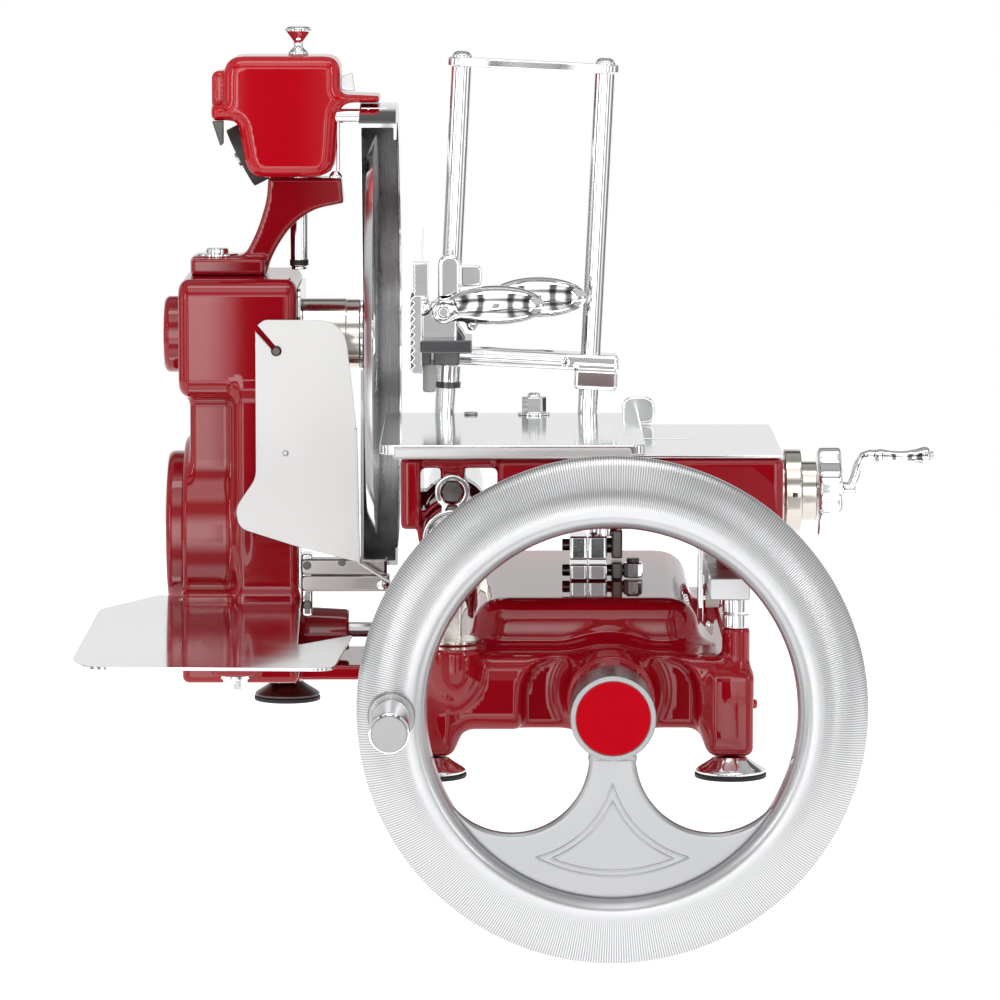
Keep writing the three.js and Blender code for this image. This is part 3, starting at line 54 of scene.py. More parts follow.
cameraView = {"place": (-0.030, -4.471, 0.696), "tiltDeg": 6.5, "lens": 207.36, "sensor": 36.0,
              "farEnd": 200.0}
camera = bpy.data.objects.new("slicerCamera", bpy.data.cameras.new("slicerCamera"))
camera.location = cameraView["place"]
camera.rotation_euler = (radians(90 - cameraView["tiltDeg"]), 0, 0)
camera.data.lens = cameraView["lens"]
camera.data.sensor_width = cameraView["sensor"]
camera.data.clip_end = cameraView["farEnd"]
scene.collection.objects.link(camera)
scene.camera = camera
scene.view_settings.view_transform = "Standard"
print("camera ready")


# Shells: each returns (points, faces) in millimetres; addPiece joins them into one object

# Points of a line whose corners are rounded: each corner P becomes (1-t)^2 A + 2t(1-t) P + t^2 B, where A and B lie
# one radius along its two sides, and no further than a share of each; one more point, a little beyond A and B,
# keeps the straight sides flat
def rounded(points, radii=0, steps=6, closed=True, share=0.44, beyond=0.12):
    corner = np.asarray(points, float)
    radius = np.broadcast_to(np.asarray(radii, float), (len(corner),)).copy()
    if not closed:
        radius[[0, -1]] = 0
    before = np.roll(corner, 1, 0) - corner
    after = np.roll(corner, -1, 0) - corner
    beforeLength = np.maximum(np.linalg.norm(before, axis=1), tiny)
    afterLength = np.maximum(np.linalg.norm(after, axis=1), tiny)
    reach = np.minimum(radius, share * np.minimum(beforeLength, afterLength))[:, None]
    before, after = before / beforeLength[:, None], after / afterLength[:, None]
    entry, leave = corner + before * reach, corner + after * reach
    t = np.linspace(0, 1, steps)[None, :, None]
    bend = (1 - t) ** 2 * entry[:, None] + 2 * t * (1 - t) * corner[:, None] + t ** 2 * leave[:, None]
    first, last = entry + before * reach * beyond, leave + after * reach * beyond
    line = np.concatenate([first[:, None], bend, last[:, None]], 1).reshape(-1, 2)
    gap = np.linalg.norm(line - np.roll(line, 1, 0), axis=1)
    keep = gap > closest
    if not closed:
        keep[0] = True
    return line[keep]


def box2(u0, u1, v0, v1):
    return [(u0, v0), (u1, v0), (u1, v1), (u0, v1)]


# A ring of points: centre + radius (cos a, sin a)
def ringLine(u, v, radius, count=64, start=0.0, end=360.0):
    full = abs(end - start) >= 360
    angle = np.radians(np.linspace(start, end, count, endpoint=not full))
    return np.stack([u + radius * np.cos(angle), v + radius * np.sin(angle)], -1)


# A drawing (u, v) at depth w, turned so that w runs along the named axis
def carried(axis, uv, w):
    w = np.broadcast_to(w, uv.shape[:-1])
    order = {"x": (w, uv[..., 0], uv[..., 1]), "y": (uv[..., 0], w, uv[..., 1]), "z": (uv[..., 0], uv[..., 1], w)}
    return np.stack(order[axis], -1)


# Quads between neighbouring rows of a grid of points; around closes each row, over closes the last row to the first
def gridFaces(rows, columns, around=True, over=False):
    r = np.arange(rows if over else rows - 1)[:, None]
    c = np.arange(columns if around else columns - 1)[None, :]
    up, side = (r + 1) % rows, (c + 1) % columns
    quads = np.stack([r * columns + c, r * columns + side, up * columns + side, up * columns + c], -1)
    return quads.reshape(-1, 4).tolist()


# A turned shell: (r cos a, r sin a) round the axis at (u, v), r and its place along the axis from the profile;
# swell adds depth (cos(count a) - 1) / 2 to the radius, times each row's share, for a lobed rim
def turned(profile, axis, at, radii=0.0, sides=96, ring=False, lobes=None):
    line = rounded(profile, radii, closed=ring)
    if not ring:
        ends = [[0.0, line[0, 1]]] if line[0, 0] > closest else []
        tail = [[0.0, line[-1, 1]]] if line[-1, 0] > closest else []
        line = np.array(ends + line.tolist() + tail)
    angle = np.arange(sides) / sides * tau
    radius = np.broadcast_to(line[:, :1], (len(line), sides)).copy()
    if lobes:
        share = np.clip((line[:, :1] - lobes["from"]) / (lobes["to"] - lobes["from"]), 0, 1)
        radius += lobes["depth"] * share * (np.cos(lobes["count"] * angle)[None] - 1) / 2
    uv = np.stack([at[0] + radius * np.cos(angle), at[1] + radius * np.sin(angle)], -1)
    points = carried(axis, uv, line[:, 1:2]).reshape(-1, 3)
    return points, gridFaces(len(line), sides, True, ring)


# The outline moved inwards by inset: every point goes along the mean of its two sides' normals, over the cosine of
# half the turn between them
def inwards(outline, inset):
    side = np.roll(outline, -1, 0) - outline
    side = side / np.maximum(np.linalg.norm(side, axis=1), tiny)[:, None]
    normal = np.stack([-side[:, 1], side[:, 0]], -1)
    mean = normal + np.roll(normal, 1, 0)
    mean = mean / np.maximum(np.linalg.norm(mean, axis=1), tiny)[:, None]
    cosine = np.maximum((mean * normal).sum(1), 0.5)
    return outline + mean * (inset / cosine)[:, None]


# A slab: its outline carried along the axis, with both rims rounded by a quarter circle of radius edge, and one
# more ring on the flat and one on the side, so many radii from the rim, that keep both flat
def slab(outline, axis, low, high, edge=0.0, steps=4, onFlat=1.35, onSide=1.3):
    line = np.asarray(outline, float)
    area = np.sum(line[:, 0] * np.roll(line[:, 1], -1) - np.roll(line[:, 0], -1) * line[:, 1])
    if area < 0:
        line = line[::-1]
    turn = np.linspace(0, np.pi / 2, steps + 1)
    inset = np.concatenate([[edge * onFlat], edge * (1 - np.sin(turn)), [0.0]])
    depth = np.concatenate([[0.0], edge * (1 - np.cos(turn)), [edge * onSide]])
    if edge <= 0:
        inset, depth = np.zeros(1), np.zeros(1)
    rings = [carried(axis, inwards(line, i), low + d) for i, d in zip(inset, depth)]
    rings += [carried(axis, inwards(line, i), high - d) for i, d in zip(inset[::-1], depth[::-1])]
    points, count = np.concatenate(rings), len(line)
    faces = gridFaces(len(rings), count)
    faces += [list(range(count))[::-1], list(range(len(points) - count, len(points)))]
    return points, faces


steadyUp, steadyBack = (0.0, 0.31, 1.0), (0.31, 1.0, 0.0)    # a tube never runs along the one it is given


# A tube: circles of the given radius across a path, turned so that each faces ahead, which is along the path
def tube(path, radius, sides=20, closed=False, upright=steadyUp, ahead=None):
    path = np.asarray(path, float)
    radius = np.broadcast_to(np.asarray(radius, float), (len(path),))
    if ahead is None:
        ahead = np.roll(path, -1, 0) - np.roll(path, 1, 0) if closed else np.gradient(path, axis=0)
    ahead = ahead / np.linalg.norm(ahead, axis=1)[:, None]
    side = np.cross(np.broadcast_to(upright, path.shape), ahead)
    side = side / np.maximum(np.linalg.norm(side, axis=1), tiny)[:, None]
    across = np.cross(ahead, side)
    angle = np.arange(sides) / sides * tau
    points = (path[:, None] + radius[:, None, None] * (np.cos(angle)[None, :, None] * side[:, None]
              + np.sin(angle)[None, :, None] * across[:, None])).reshape(-1, 3)
    faces = gridFaces(len(path), sides, True, closed)
    if not closed:
        faces += [list(range(sides))[::-1], list(range(len(points) - sides, len(points)))]
    return points, faces


# A round bar between two points: a straight tube whose radius is less by edge (1 - sin) at its ends, with one more
# ring beyond each rounding; one as steep as the slope given here takes its other steady direction
def bar(start, end, radius, edge=0.6, sides=48, beyond=1.4, steepest=0.8):
    start, end = np.asarray(start, float), np.asarray(end, float)
    length = np.linalg.norm(end - start)
    turn = np.linspace(0, np.pi / 2, 5)
    place = np.concatenate([[0], edge * (1 - np.cos(turn)), [edge * beyond]]) / length
    size = np.concatenate([[radius - edge * beyond], radius - edge * (1 - np.sin(turn)), [radius]])
    place, size = np.concatenate([place, 1 - place[::-1]]), np.concatenate([size, size[::-1]])
    path = start + (end - start) * place[:, None]
    ahead = np.broadcast_to((end - start) / length, path.shape)
    return tube(path, size, sides, upright=steadyUp if abs(ahead[0, 2]) < steepest else steadyBack, ahead=ahead)


# Points turned about a line along Y through (x, z): (x + u cos + w sin, y, z - u sin + w cos)
def leaned(points, x, z, degrees):
    c, s = np.cos(np.radians(degrees)), np.sin(np.radians(degrees))
    u, w = points[:, 0] - x, points[:, 2] - z
    return np.stack([x + u * c + w * s, points[:, 1], z - u * s + w * c], -1)


# Castings: the surface where a distance field is zero

# Smooth joining of two fields: min(a, b) - h^2 k / 4 with h = max(k - |a - b|, 0) / k
def joined(a, b, k):
    h = np.maximum(k - np.abs(a - b), 0) / k
    return np.minimum(a, b) - h * h * k / 4


# The room that two fields share, its rim rounded by a circle of radius r:
# |(max(a + r, 0), max(b + r, 0))| + min(max(a, b) + r, 0) - r
def shared(a, b, r):
    outside = np.sqrt(np.maximum(a + r, 0) ** 2 + np.maximum(b + r, 0) ** 2)
    return outside + np.minimum(np.maximum(a, b) + r, 0) - r


def carved(a, b, k):
    return -joined(-a, b, k)


# Distance to a block with rounded edges: |max(q, 0)| + min(max q, 0) - r, q = |p - middle| - half size + r
def blockField(x, y, z, x0, x1, y0, y1, z0, z1, r):
    qx = np.abs(x - (x0 + x1) / 2) - (x1 - x0) / 2 + r
    qy = np.abs(y - (y0 + y1) / 2) - (y1 - y0) / 2 + r
    qz = np.abs(z - (z0 + z1) / 2) - (z1 - z0) / 2 + r
    outside = np.sqrt(np.maximum(qx, 0) ** 2 + np.maximum(qy, 0) ** 2 + np.maximum(qz, 0) ** 2)
    return outside + np.minimum(np.maximum(qx, np.maximum(qy, qz)), 0) - r


# Distance to a round disc with rounded rims: the block rule in radius and depth; slope narrows it along w
def discField(u, v, w, radius, w0, w1, r, slope=0.0):
    qr = np.sqrt(u * u + v * v) - radius + slope * (w - w0) + r
    qw = np.abs(w - (w0 + w1) / 2) - (w1 - w0) / 2 + r
    return np.sqrt(np.maximum(qr, 0) ** 2 + np.maximum(qw, 0) ** 2) + np.minimum(np.maximum(qr, qw), 0) - r


# Distance to an egg, nearly: k (k - 1) / |p / s^2| with k = |p / s|
def eggField(x, y, z, middle, half):
    px, py, pz = (x - middle[0]) / half[0], (y - middle[1]) / half[1], (z - middle[2]) / half[2]
    k = np.sqrt(px ** 2 + py ** 2 + pz ** 2) + tiny
    g = np.sqrt((px / half[0]) ** 2 + (py / half[1]) ** 2 + (pz / half[2]) ** 2) + tiny
    return k * (k - 1) / g


# Distance to a straight limb that narrows from one end to the other: |p - nearest point| - radius there
def limbField(x, y, z, start, end, r0, r1):
    d = np.subtract(end, start)
    t = ((x - start[0]) * d[0] + (y - start[1]) * d[1] + (z - start[2]) * d[2]) / np.dot(d, d)
    t = np.clip(t, 0, 1)
    away = (x - start[0] - t * d[0]) ** 2 + (y - start[1] - t * d[1]) ** 2 + (z - start[2] - t * d[2]) ** 2
    return np.sqrt(away) - r0 - (r1 - r0) * t


# Distance to a drawn outline, negative inside: the least distance to its sides, with the sign from how many sides
# a ray towards +u crosses
def outlineField(u, v, outline):
    a = np.asarray(outline, float)
    b = np.roll(a, -1, 0)
    side = b - a
    u, v = np.broadcast_arrays(u, v)
    pu, pv = u[..., None] - a[:, 0], v[..., None] - a[:, 1]
    t = np.clip((pu * side[:, 0] + pv * side[:, 1]) / (side ** 2).sum(1), 0, 1)
    away = ((pu - t * side[:, 0]) ** 2 + (pv - t * side[:, 1]) ** 2).min(-1)
    height = np.where(np.abs(side[:, 1]) < tiny, tiny, side[:, 1])
    crosses = ((a[:, 1] > v[..., None]) != (b[:, 1] > v[..., None])) & (pu < side[:, 0] * pv / height)
    return np.where(crosses.sum(-1) % 2 == 1, -1, 1) * np.sqrt(away)


# The casting's skin: one point in each cell that the surface crosses, at the mean of its edge crossings, joined to
# its neighbours by quads; each point then slides down the field's slope onto the surface, and keeps the slope as its
# normal. Before and after are the grid's margins and longest is the most a point slides at once, all three in cells;
# near and far are how wide the slope is taken, in millimetres
net = {"before": 1.6, "after": 2.6, "slides": 3, "longest": 0.6, "flattest": 0.2, "near": 0.2, "far": 0.35}


def casting(field, low, high, step):
    axes = [np.arange(a - net["before"] * step, b + net["after"] * step, step) for a, b in zip(low, high)]
    x, y, z = np.meshgrid(*axes, indexing="ij", sparse=True)
    value = np.broadcast_to(field(x, y, z), tuple(len(a) for a in axes))
    inside = value < 0
    corners = np.array([(i, j, k) for i in (0, 1) for j in (0, 1) for k in (0, 1)])
    size = np.array(value.shape) - 1

    def take(grid, c):
        return grid[c[0]:c[0] + size[0], c[1]:c[1] + size[1], c[2]:c[2] + size[2]]

    count = sum(take(inside, c).astype(int) for c in corners)
    cells = np.argwhere((count > 0) & (count < 8))
    number = np.full(tuple(size), -1)
    number[tuple(cells.T)] = np.arange(len(cells))
    depth = np.stack([take(value, c)[tuple(cells.T)] for c in corners], -1)
    pairs = [(p, q) for p in range(8) for q in range(p + 1, 8) if np.abs(corners[p] - corners[q]).sum() == 1]
    total, hits = np.zeros((len(cells), 3)), np.zeros((len(cells), 1))
    for p, q in pairs:
        cross = (depth[:, p] < 0) != (depth[:, q] < 0)
        t = np.where(cross, depth[:, p] / np.where(cross, depth[:, p] - depth[:, q], 1), 0)[:, None]
        total += cross[:, None] * (corners[p] + t * (corners[q] - corners[p]))
        hits += cross[:, None]
    points = np.array([a[0] for a in axes]) + (cells + total / hits) * step
    quads = []
    for axis in range(3):
        one, two = (axis + 1) % 3, (axis + 2) % 3
        first = np.take(inside, range(0, inside.shape[axis] - 1), axis)
        second = np.take(inside, range(1, inside.shape[axis]), axis)
        edge = np.argwhere(first != second)
        edge = edge[(edge[:, one] > 0) & (edge[:, two] > 0) & (edge[:, one] < size[one]) & (edge[:, two] < size[two])]
        shift = np.eye(3, dtype=int)
        around = ((1, 1), (0, 1), (0, 0), (1, 0))
        quad = np.stack([number[tuple((edge - a * shift[one] - b * shift[two]).T)] for a, b in around], -1)
        outward = first[tuple(edge.T)]
        quads.append(np.where(outward[:, None], quad, quad[:, ::-1]))
    faces = np.concatenate(quads)

    def slope(p, h):
        parts = []
        for axis in range(3):
            move = np.zeros(3)
            move[axis] = h
            parts.append((field(*(p + move).T) - field(*(p - move).T)) / (2 * h))
        return np.stack(parts, -1)

    for _ in range(net["slides"]):
        g = slope(points, net["near"])
        move = (field(*points.T) / np.maximum((g ** 2).sum(1), net["flattest"]))[:, None] * g
        far = np.linalg.norm(move, axis=1)[:, None]
        points = points - move * np.minimum(1, net["longest"] * step / np.maximum(far, tiny))
    g = slope(points, net["far"])
    normals = g / np.maximum(np.linalg.norm(g, axis=1), tiny)[:, None]
    return points, faces.tolist(), normals


# Joins shells into one object at the origin, merges doubles, turns faces out, hands it to its body, and hides the
# frame's parts that it stands for
def addPiece(name, shells, finish, body, stands=(), sharp=32, bevel=None, merge=2e-6, empty=1e-7):
    shells = shells if isinstance(shells, list) else [shells]
    normals = shells[0][2] if len(shells[0]) == 3 else None
    points, faces, start = [], [], 0
    for shell in shells:
        points.append(shell[0])
        faces += [[i + start for i in face] for face in shell[1]]
        start += len(shell[0])
    mesh = bpy.data.meshes.new(name)
    mesh.from_pydata((np.concatenate(points) * millimetre).tolist(), [], faces)
    if normals is None:
        work = bmesh.new()
        work.from_mesh(mesh)
        bmesh.ops.remove_doubles(work, verts=work.verts, dist=merge)
        bmesh.ops.dissolve_degenerate(work, edges=work.edges, dist=empty)
        bmesh.ops.recalc_face_normals(work, faces=work.faces)
        work.to_mesh(mesh)
        work.free()
        mesh.shade_smooth()
        mesh.set_sharp_from_angle(angle=radians(sharp))
    else:
        mesh.shade_smooth()
        mesh.normals_split_custom_set_from_vertices(normals.tolist())
    piece = bpy.data.objects.new(name, mesh)
    scene.collection.objects.link(piece)
    mesh.materials.append(finishes[finish])
    if bevel:
        soft = piece.modifiers.new("softEdges", "BEVEL")
        soft.width, soft.segments = bevel * millimetre, 3
        soft.limit_method, soft.angle_limit = "ANGLE", radians(40)
        soft.harden_normals = True
    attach(piece, body)
    if stands:
        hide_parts(*([stands] if isinstance(stands, str) else stands))
    return piece


# Finishes: every pattern lies on the object's own coordinates, in metres
finishes, finishSlots = {}, {}


def addNode(tree, kind, **values):
    node = tree.nodes.new(kind)
    for key, value in values.items():
        if hasattr(node, key):
            setattr(node, key, value)
        else:
            node.inputs[key.replace("_", " ")].default_value = value
    return node


def addMath(tree, operation, *values):
    node = addNode(tree, "ShaderNodeMath", operation=operation)
    for socket, value in zip(node.inputs, values):
        if hasattr(value, "links"):
            tree.links.new(value, socket)
        else:
            socket.default_value = value
    return node.outputs[0]


# How far a value has come from low to high, between the two ends of to
def addShare(tree, source, low, high, to=(0.0, 1.0)):
    share = addNode(tree, "ShaderNodeMapRange")
    for socket, value in zip(("From Min", "From Max", "To Min", "To Max"), (low, high, *to)):
        share.inputs[socket].default_value = value
    tree.links.new(source, share.inputs["Value"])
    return share.outputs["Result"]


cloudRange = (0.35, 0.65)                  # a noise rarely leaves this
colorOne, colorTwo, colorOut = 6, 7, 2     # a colour mix node's sockets


# Shader with its fixed values, a cloud that moves the roughness, and a fine grain that moves the tint and lifts the
# surface
def addFinish(name, slot, look):
    material = bpy.data.materials.new(name)
    material.use_nodes = True
    tree = material.node_tree
    shader = tree.nodes["Principled BSDF"]
    for socket, key, plain in (("Metallic", "metal", 0.0), ("Coat Weight", "coat", 0.0), ("Coat IOR", "coatIor", 1.5),
                               ("Coat Roughness", "coatRough", 0.03), ("Specular IOR Level", "specular", 0.5)):
        shader.inputs[socket].default_value = look.get(key, plain)
    link = tree.links.new
    where = addNode(tree, "ShaderNodeTexCoord")
    place = addNode(tree, "ShaderNodeMapping")
    place.inputs["Scale"].default_value = look.get("stretch", (1, 1, 1))
    link(where.outputs["Object"], place.inputs["Vector"])
    cloud = addNode(tree, "ShaderNodeTexNoise", Scale=look.get("cloud", 18.0), Detail=4.0)
    grain = addNode(tree, "ShaderNodeTexNoise", Scale=look.get("grain", 600.0), Detail=3.0)
    link(where.outputs["Object"], cloud.inputs["Vector"])
    link(place.outputs["Vector"], grain.inputs["Vector"])
    link(addShare(tree, cloud.outputs["Fac"], *cloudRange, look["rough"]), shader.inputs["Roughness"])
    tint = addNode(tree, "ShaderNodeMix", data_type="RGBA")
    color, spread = np.array(look["color"]), look.get("tint", 0.05)
    tint.inputs[colorOne].default_value = (*(color * (1 - spread)), 1)
    tint.inputs[colorTwo].default_value = (*np.minimum(color * (1 + spread), 1), 1)
    link(grain.outputs["Fac"], tint.inputs[0])
    link(tint.outputs[colorOut], shader.inputs["Base Color"])
    bump = addNode(tree, "ShaderNodeBump", Strength=look.get("bump", 0.05), Distance=look.get("lift", 0.0002))
    link(grain.outputs["Fac"], bump.inputs["Height"])
    link(bump.outputs["Normal"], shader.inputs["Normal"])
    if look.get("coat", 0) > 0:
        link(bump.outputs["Normal"], shader.inputs["Coat Normal"])
    finishes[name], finishSlots[name] = material, slot
    return tree, shader, where, bump, tint


# Distance from a line through (x, y, z): the object's coordinates less that point, with the line's own part dropped
def addRadius(tree, where, scale, shift):
    flat = addNode(tree, "ShaderNodeMapping")
    flat.inputs["Scale"].default_value = scale
    flat.inputs["Location"].default_value = [-s * millimetre * k for s, k in zip(shift, scale)]
    tree.links.new(where.outputs["Object"], flat.inputs["Vector"])
    radius = addNode(tree, "ShaderNodeVectorMath", operation="LENGTH")
    tree.links.new(flat.outputs["Vector"], radius.inputs[0])
    return flat, radius


paintLook = {"color": (0.31, 0.0027, 0.009), "rough": (0.30, 0.40), "coat": 1.0, "coatRough": 0.02, "tint": 0.05,
             "cloud": 7.0, "grain": 120.0, "bump": 0.004, "lift": 0.0003, "specular": 0.0, "coatIor": 1.52}
addFinish("redPaint", "red_paint", paintLook)
addFinish("brightRedPaint", "bright_red_paint", {**paintLook, "color": (0.50, 0.0027, 0.010)})
chromeLook = {"color": (0.88, 0.885, 0.895), "metal": 1.0, "rough": (0.035, 0.085), "tint": 0.015, "cloud": 30.0,
              "grain": 180.0, "bump": 0.012, "lift": 0.0002}
addFinish("chrome", "chrome", chromeLook)
silverLook = {"color": (0.44, 0.445, 0.455), "metal": 0.94, "rough": (0.30, 0.36), "grain": 900.0, "bump": 0.03,
              "tint": 0.03}
metals = {
    "polishedSheet": ("polished_sheet", {"color": (0.84, 0.85, 0.86), "rough": (0.07, 0.13), "cloud": 9.0,
                                         "grain": 90.0, "stretch": (1.0, 8.0, 1.0)}),
    "satinSheet": ("polished_sheet", {"color": (0.60, 0.595, 0.59), "rough": (0.40, 0.44), "cloud": 6.0,
                                      "grain": 70.0, "stretch": (8.0, 1.0, 1.0), "bump": 0.0}),
    "spunChrome": ("chrome", {"color": (0.34, 0.34, 0.345), "rough": (0.24, 0.32)}),
    "darkChrome": ("chrome", {"color": (0.16, 0.16, 0.17), "rough": (0.06, 0.10)}),
    "guardSteel": ("steel", {"color": (0.30, 0.30, 0.305), "rough": (0.20, 0.34), "cloud": 26.0, "grain": 40.0,
                             "stretch": (22.0, 1.0, 1.0), "bump": 0.06, "tint": 0.5}),
    "railSteel": ("steel", {"color": (0.30, 0.28, 0.27), "rough": (0.16, 0.24)}),
    "nickel": ("nickel", {"color": (0.70, 0.665, 0.61), "rough": (0.11, 0.18), "grain": 900.0, "bump": 0.05}),
    "steel": ("steel", {"color": (0.52, 0.52, 0.53), "rough": (0.24, 0.36), "grain": 1200.0,
                        "stretch": (1.0, 0.08, 1.0), "bump": 0.08}),
    "darkSteel": ("steel", {"color": (0.11, 0.105, 0.10), "rough": (0.26, 0.4), "bump": 0.06}),
}
for name, (slot, look) in metals.items():
    addFinish(name, slot, {**chromeLook, **look})
addFinish("nylon", "nylon", {"color": (0.56, 0.55, 0.52), "rough": (0.4, 0.5), "grain": 700.0, "bump": 0.05})
addFinish("stone", "stone", {"color": (0.075, 0.073, 0.07), "rough": (0.8, 0.95), "grain": 1500.0, "tint": 0.5,
                             "bump": 0.5, "lift": 0.0004})
addFinish("rubber", "stone", {"color": (0.012, 0.012, 0.012), "rough": (0.45, 0.6), "grain": 900.0, "bump": 0.1})
addFinish("webSilver", "silver_aluminium", silverLook)

# Satin silver of the flywheel: fine spokes all round its band, sin(count * angle), fading out on the inner roll; the
# spokes lift the surface and also mix a darker colour into each trough, painted shade in the grooves
spokeLook = {"count": 620, "fadeFrom": 0.1485, "fadeTo": 0.1580, "depth": 0.00025, "strength": 0.2,
             "groove": (0.36, 0.365, 0.375, 1)}
tree, shader, where, bump, tint = addFinish("wheelSilver", "silver_aluminium",
                                            {**silverLook, "color": (0.80, 0.805, 0.815)})
flat, radius = addRadius(tree, where, (1, 0, 1), (driveX, 0, driveZ))
split = addNode(tree, "ShaderNodeSeparateXYZ")
tree.links.new(flat.outputs["Vector"], split.inputs[0])
angle = addMath(tree, "ARCTAN2", split.outputs["Z"], split.outputs["X"])
wave = addMath(tree, "SINE", addMath(tree, "MULTIPLY", angle, float(spokeLook["count"])))
fade = addShare(tree, radius.outputs["Value"], spokeLook["fadeFrom"], spokeLook["fadeTo"])
spokes = addMath(tree, "MULTIPLY", wave, fade)
grooves = addNode(tree, "ShaderNodeBump", Strength=spokeLook["strength"], Distance=spokeLook["depth"])
tree.links.new(spokes, grooves.inputs["Height"])
tree.links.new(bump.outputs["Normal"], grooves.inputs["Normal"])
tree.links.new(grooves.outputs["Normal"], shader.inputs["Normal"])
# Painted shade: the spokes' troughs take the darker groove colour, their crests the plain silver
shade = addNode(tree, "ShaderNodeMix", data_type="RGBA")
tree.links.new(addMath(tree, "MULTIPLY_ADD", spokes, 0.5, 0.5), shade.inputs[0])
tree.links.new(tint.outputs[colorOut], shade.inputs[colorTwo])
shade.inputs[colorOne].default_value = spokeLook["groove"]
tree.links.new(shade.outputs[colorOut], shader.inputs["Base Color"])

# Ground steel of the blade: rings of noise about its axis
turnLook = {"rings": 2400.0, "strength": 0.22, "depth": 0.0003}
tree, shader, where, bump, tint = addFinish("bladeSteel", "blade_steel", {
    "color": (0.80, 0.81, 0.82), "metal": 1.0, "rough": (0.10, 0.20), "grain": 200.0, "bump": 0.01, "tint": 0.02})
flat, radius = addRadius(tree, where, (0, 1, 1), (0, bladeY, bladeZ))
rings = addNode(tree, "ShaderNodeTexNoise", Scale=1.0, Detail=2.0, noise_dimensions="1D")
tree.links.new(addMath(tree, "MULTIPLY", radius.outputs["Value"], turnLook["rings"]), rings.inputs["W"])
turnMarks = addNode(tree, "ShaderNodeBump", Strength=turnLook["strength"], Distance=turnLook["depth"])
tree.links.new(rings.outputs["Fac"], turnMarks.inputs["Height"])
tree.links.new(bump.outputs["Normal"], turnMarks.inputs["Normal"])
tree.links.new(turnMarks.outputs["Normal"], shader.inputs["Normal"])
print("finishes ready:", len(finishes))


# Floor and light
floorLook = {"level": -128.0, "x": 2200.0, "front": -720.0, "back": 2600.0, "color": (0.6, 0.6, 0.6),
             "rough": 0.9, "glow": 0.9}
floorPoints = [(x, y, floorLook["level"]) for x, y in
               box2(-floorLook["x"], floorLook["x"], floorLook["front"], floorLook["back"])]
floorMesh = bpy.data.meshes.new("studioFloor")
floorMesh.from_pydata((np.array(floorPoints) * millimetre).tolist(), [], [[0, 1, 2, 3]])
floor = bpy.data.objects.new("studioFloor", floorMesh)
scene.collection.objects.link(floor)
floorFinish = bpy.data.materials.new("paleFloor")
floorFinish.use_nodes = True
floorShader = floorFinish.node_tree.nodes["Principled BSDF"]
floorShader.inputs["Base Color"].default_value = (*floorLook["color"], 1)
floorShader.inputs["Roughness"].default_value = floorLook["rough"]
floorShader.inputs["Emission Color"].default_value = (1, 1, 1, 1)
floorShader.inputs["Emission Strength"].default_value = floorLook["glow"]
floorMesh.materials.append(floorFinish)

# Studio walls as light from all round, by direction: (place, level) from -X to X in front, from the middle outwards
# behind, and from down to up in both Height lists. In front two tall bright panels stand left and right of a dark gap,
# with dark joints further out; behind is an even pale wall. The camera itself sees plain white.
wallLook = {
    "front": [(0.0, 0.5), (0.035, 0.08), (0.10, 0.10), (0.13, 0.45), (0.20, 0.50), (0.225, 0.05), (0.265, 0.06),
              (0.30, 0.52), (0.35, 0.54), (0.365, 0.08), (0.40, 0.08), (0.42, 1.0), (0.475, 1.0), (0.525, 0.8),
              (0.575, 0.7), (0.59, 0.07), (0.63, 0.07), (0.645, 0.52), (0.70, 0.50), (0.74, 0.06), (0.79, 0.05),
              (0.82, 0.42), (0.88, 0.40), (0.92, 0.08), (0.965, 0.10), (1.0, 0.4)],
    "frontHeight": [(0.0, 0.22), (0.20, 0.24), (0.34, 0.72), (0.40, 0.42), (0.47, 1.0), (0.60, 0.90), (0.72, 0.12),
                    (0.80, 0.10), (0.86, 0.55), (1.0, 0.30)],
    "back": [(0.0, 1.0), (0.70, 0.96), (0.78, 0.12), (0.88, 0.06), (0.93, 0.40), (1.0, 0.5)],
    "backHeight": [(0.0, 0.62), (0.44, 0.70), (0.50, 0.66), (0.58, 0.70), (0.70, 0.62), (0.75, 0.10), (0.84, 0.08),
                   (0.88, 0.40), (1.0, 0.30)],
    "gap": {"x": (-0.0475, 0.055), "z": (-0.121, 0.20), "soft": 0.003, "level": 0.02},
    "lowGap": {"x": (-0.0475, 0.036), "z": (-0.18, -0.119), "soft": 0.003, "level": 0.02},
    "opening": {"x": (-0.031, 0.034), "z": (-0.1035, 0.20), "soft": 0.004, "level": 0.5},
    "side": {"x": (0.60, 0.74), "z": (0.05, 0.13), "level": 0.62},
    "frontLevel": 4.3, "backLevel": 1.25, "seam": 0.05, "warmth": 1.005}
world = bpy.data.worlds.new("studioWalls")
world.use_nodes = True
scene.world = world
tree = world.node_tree
sky = addNode(tree, "ShaderNodeTexCoord")
split = addNode(tree, "ShaderNodeSeparateXYZ")
tree.links.new(sky.outputs["Generated"], split.inputs[0])
dirX, dirY, dirZ = split.outputs


def addRamp(tree, stops, source):
    ramp = addNode(tree, "ShaderNodeValToRGB")
    while len(ramp.color_ramp.elements) < len(stops):
        ramp.color_ramp.elements.new(0.5)
    for element, (place, level) in zip(ramp.color_ramp.elements, stops):
        element.position, element.color = place, (level, level, level * wallLook["warmth"], 1)
    tree.links.new(source, ramp.inputs[0])
    return ramp.outputs[0]


# How far a direction lies inside the rectangle a < x < b, c < z < d: the product of four soft steps
def addWindow(tree, window):
    soft, inside = window["soft"], None
    for source, (low, high) in ((dirX, window["x"]), (dirZ, window["z"])):
        for edge, turn in ((low, 1), (high, -1)):
            share = addShare(tree, source, edge - turn * soft, edge + turn * soft)
            inside = share if inside is None else addMath(tree, "MULTIPLY", inside, share)
    return inside


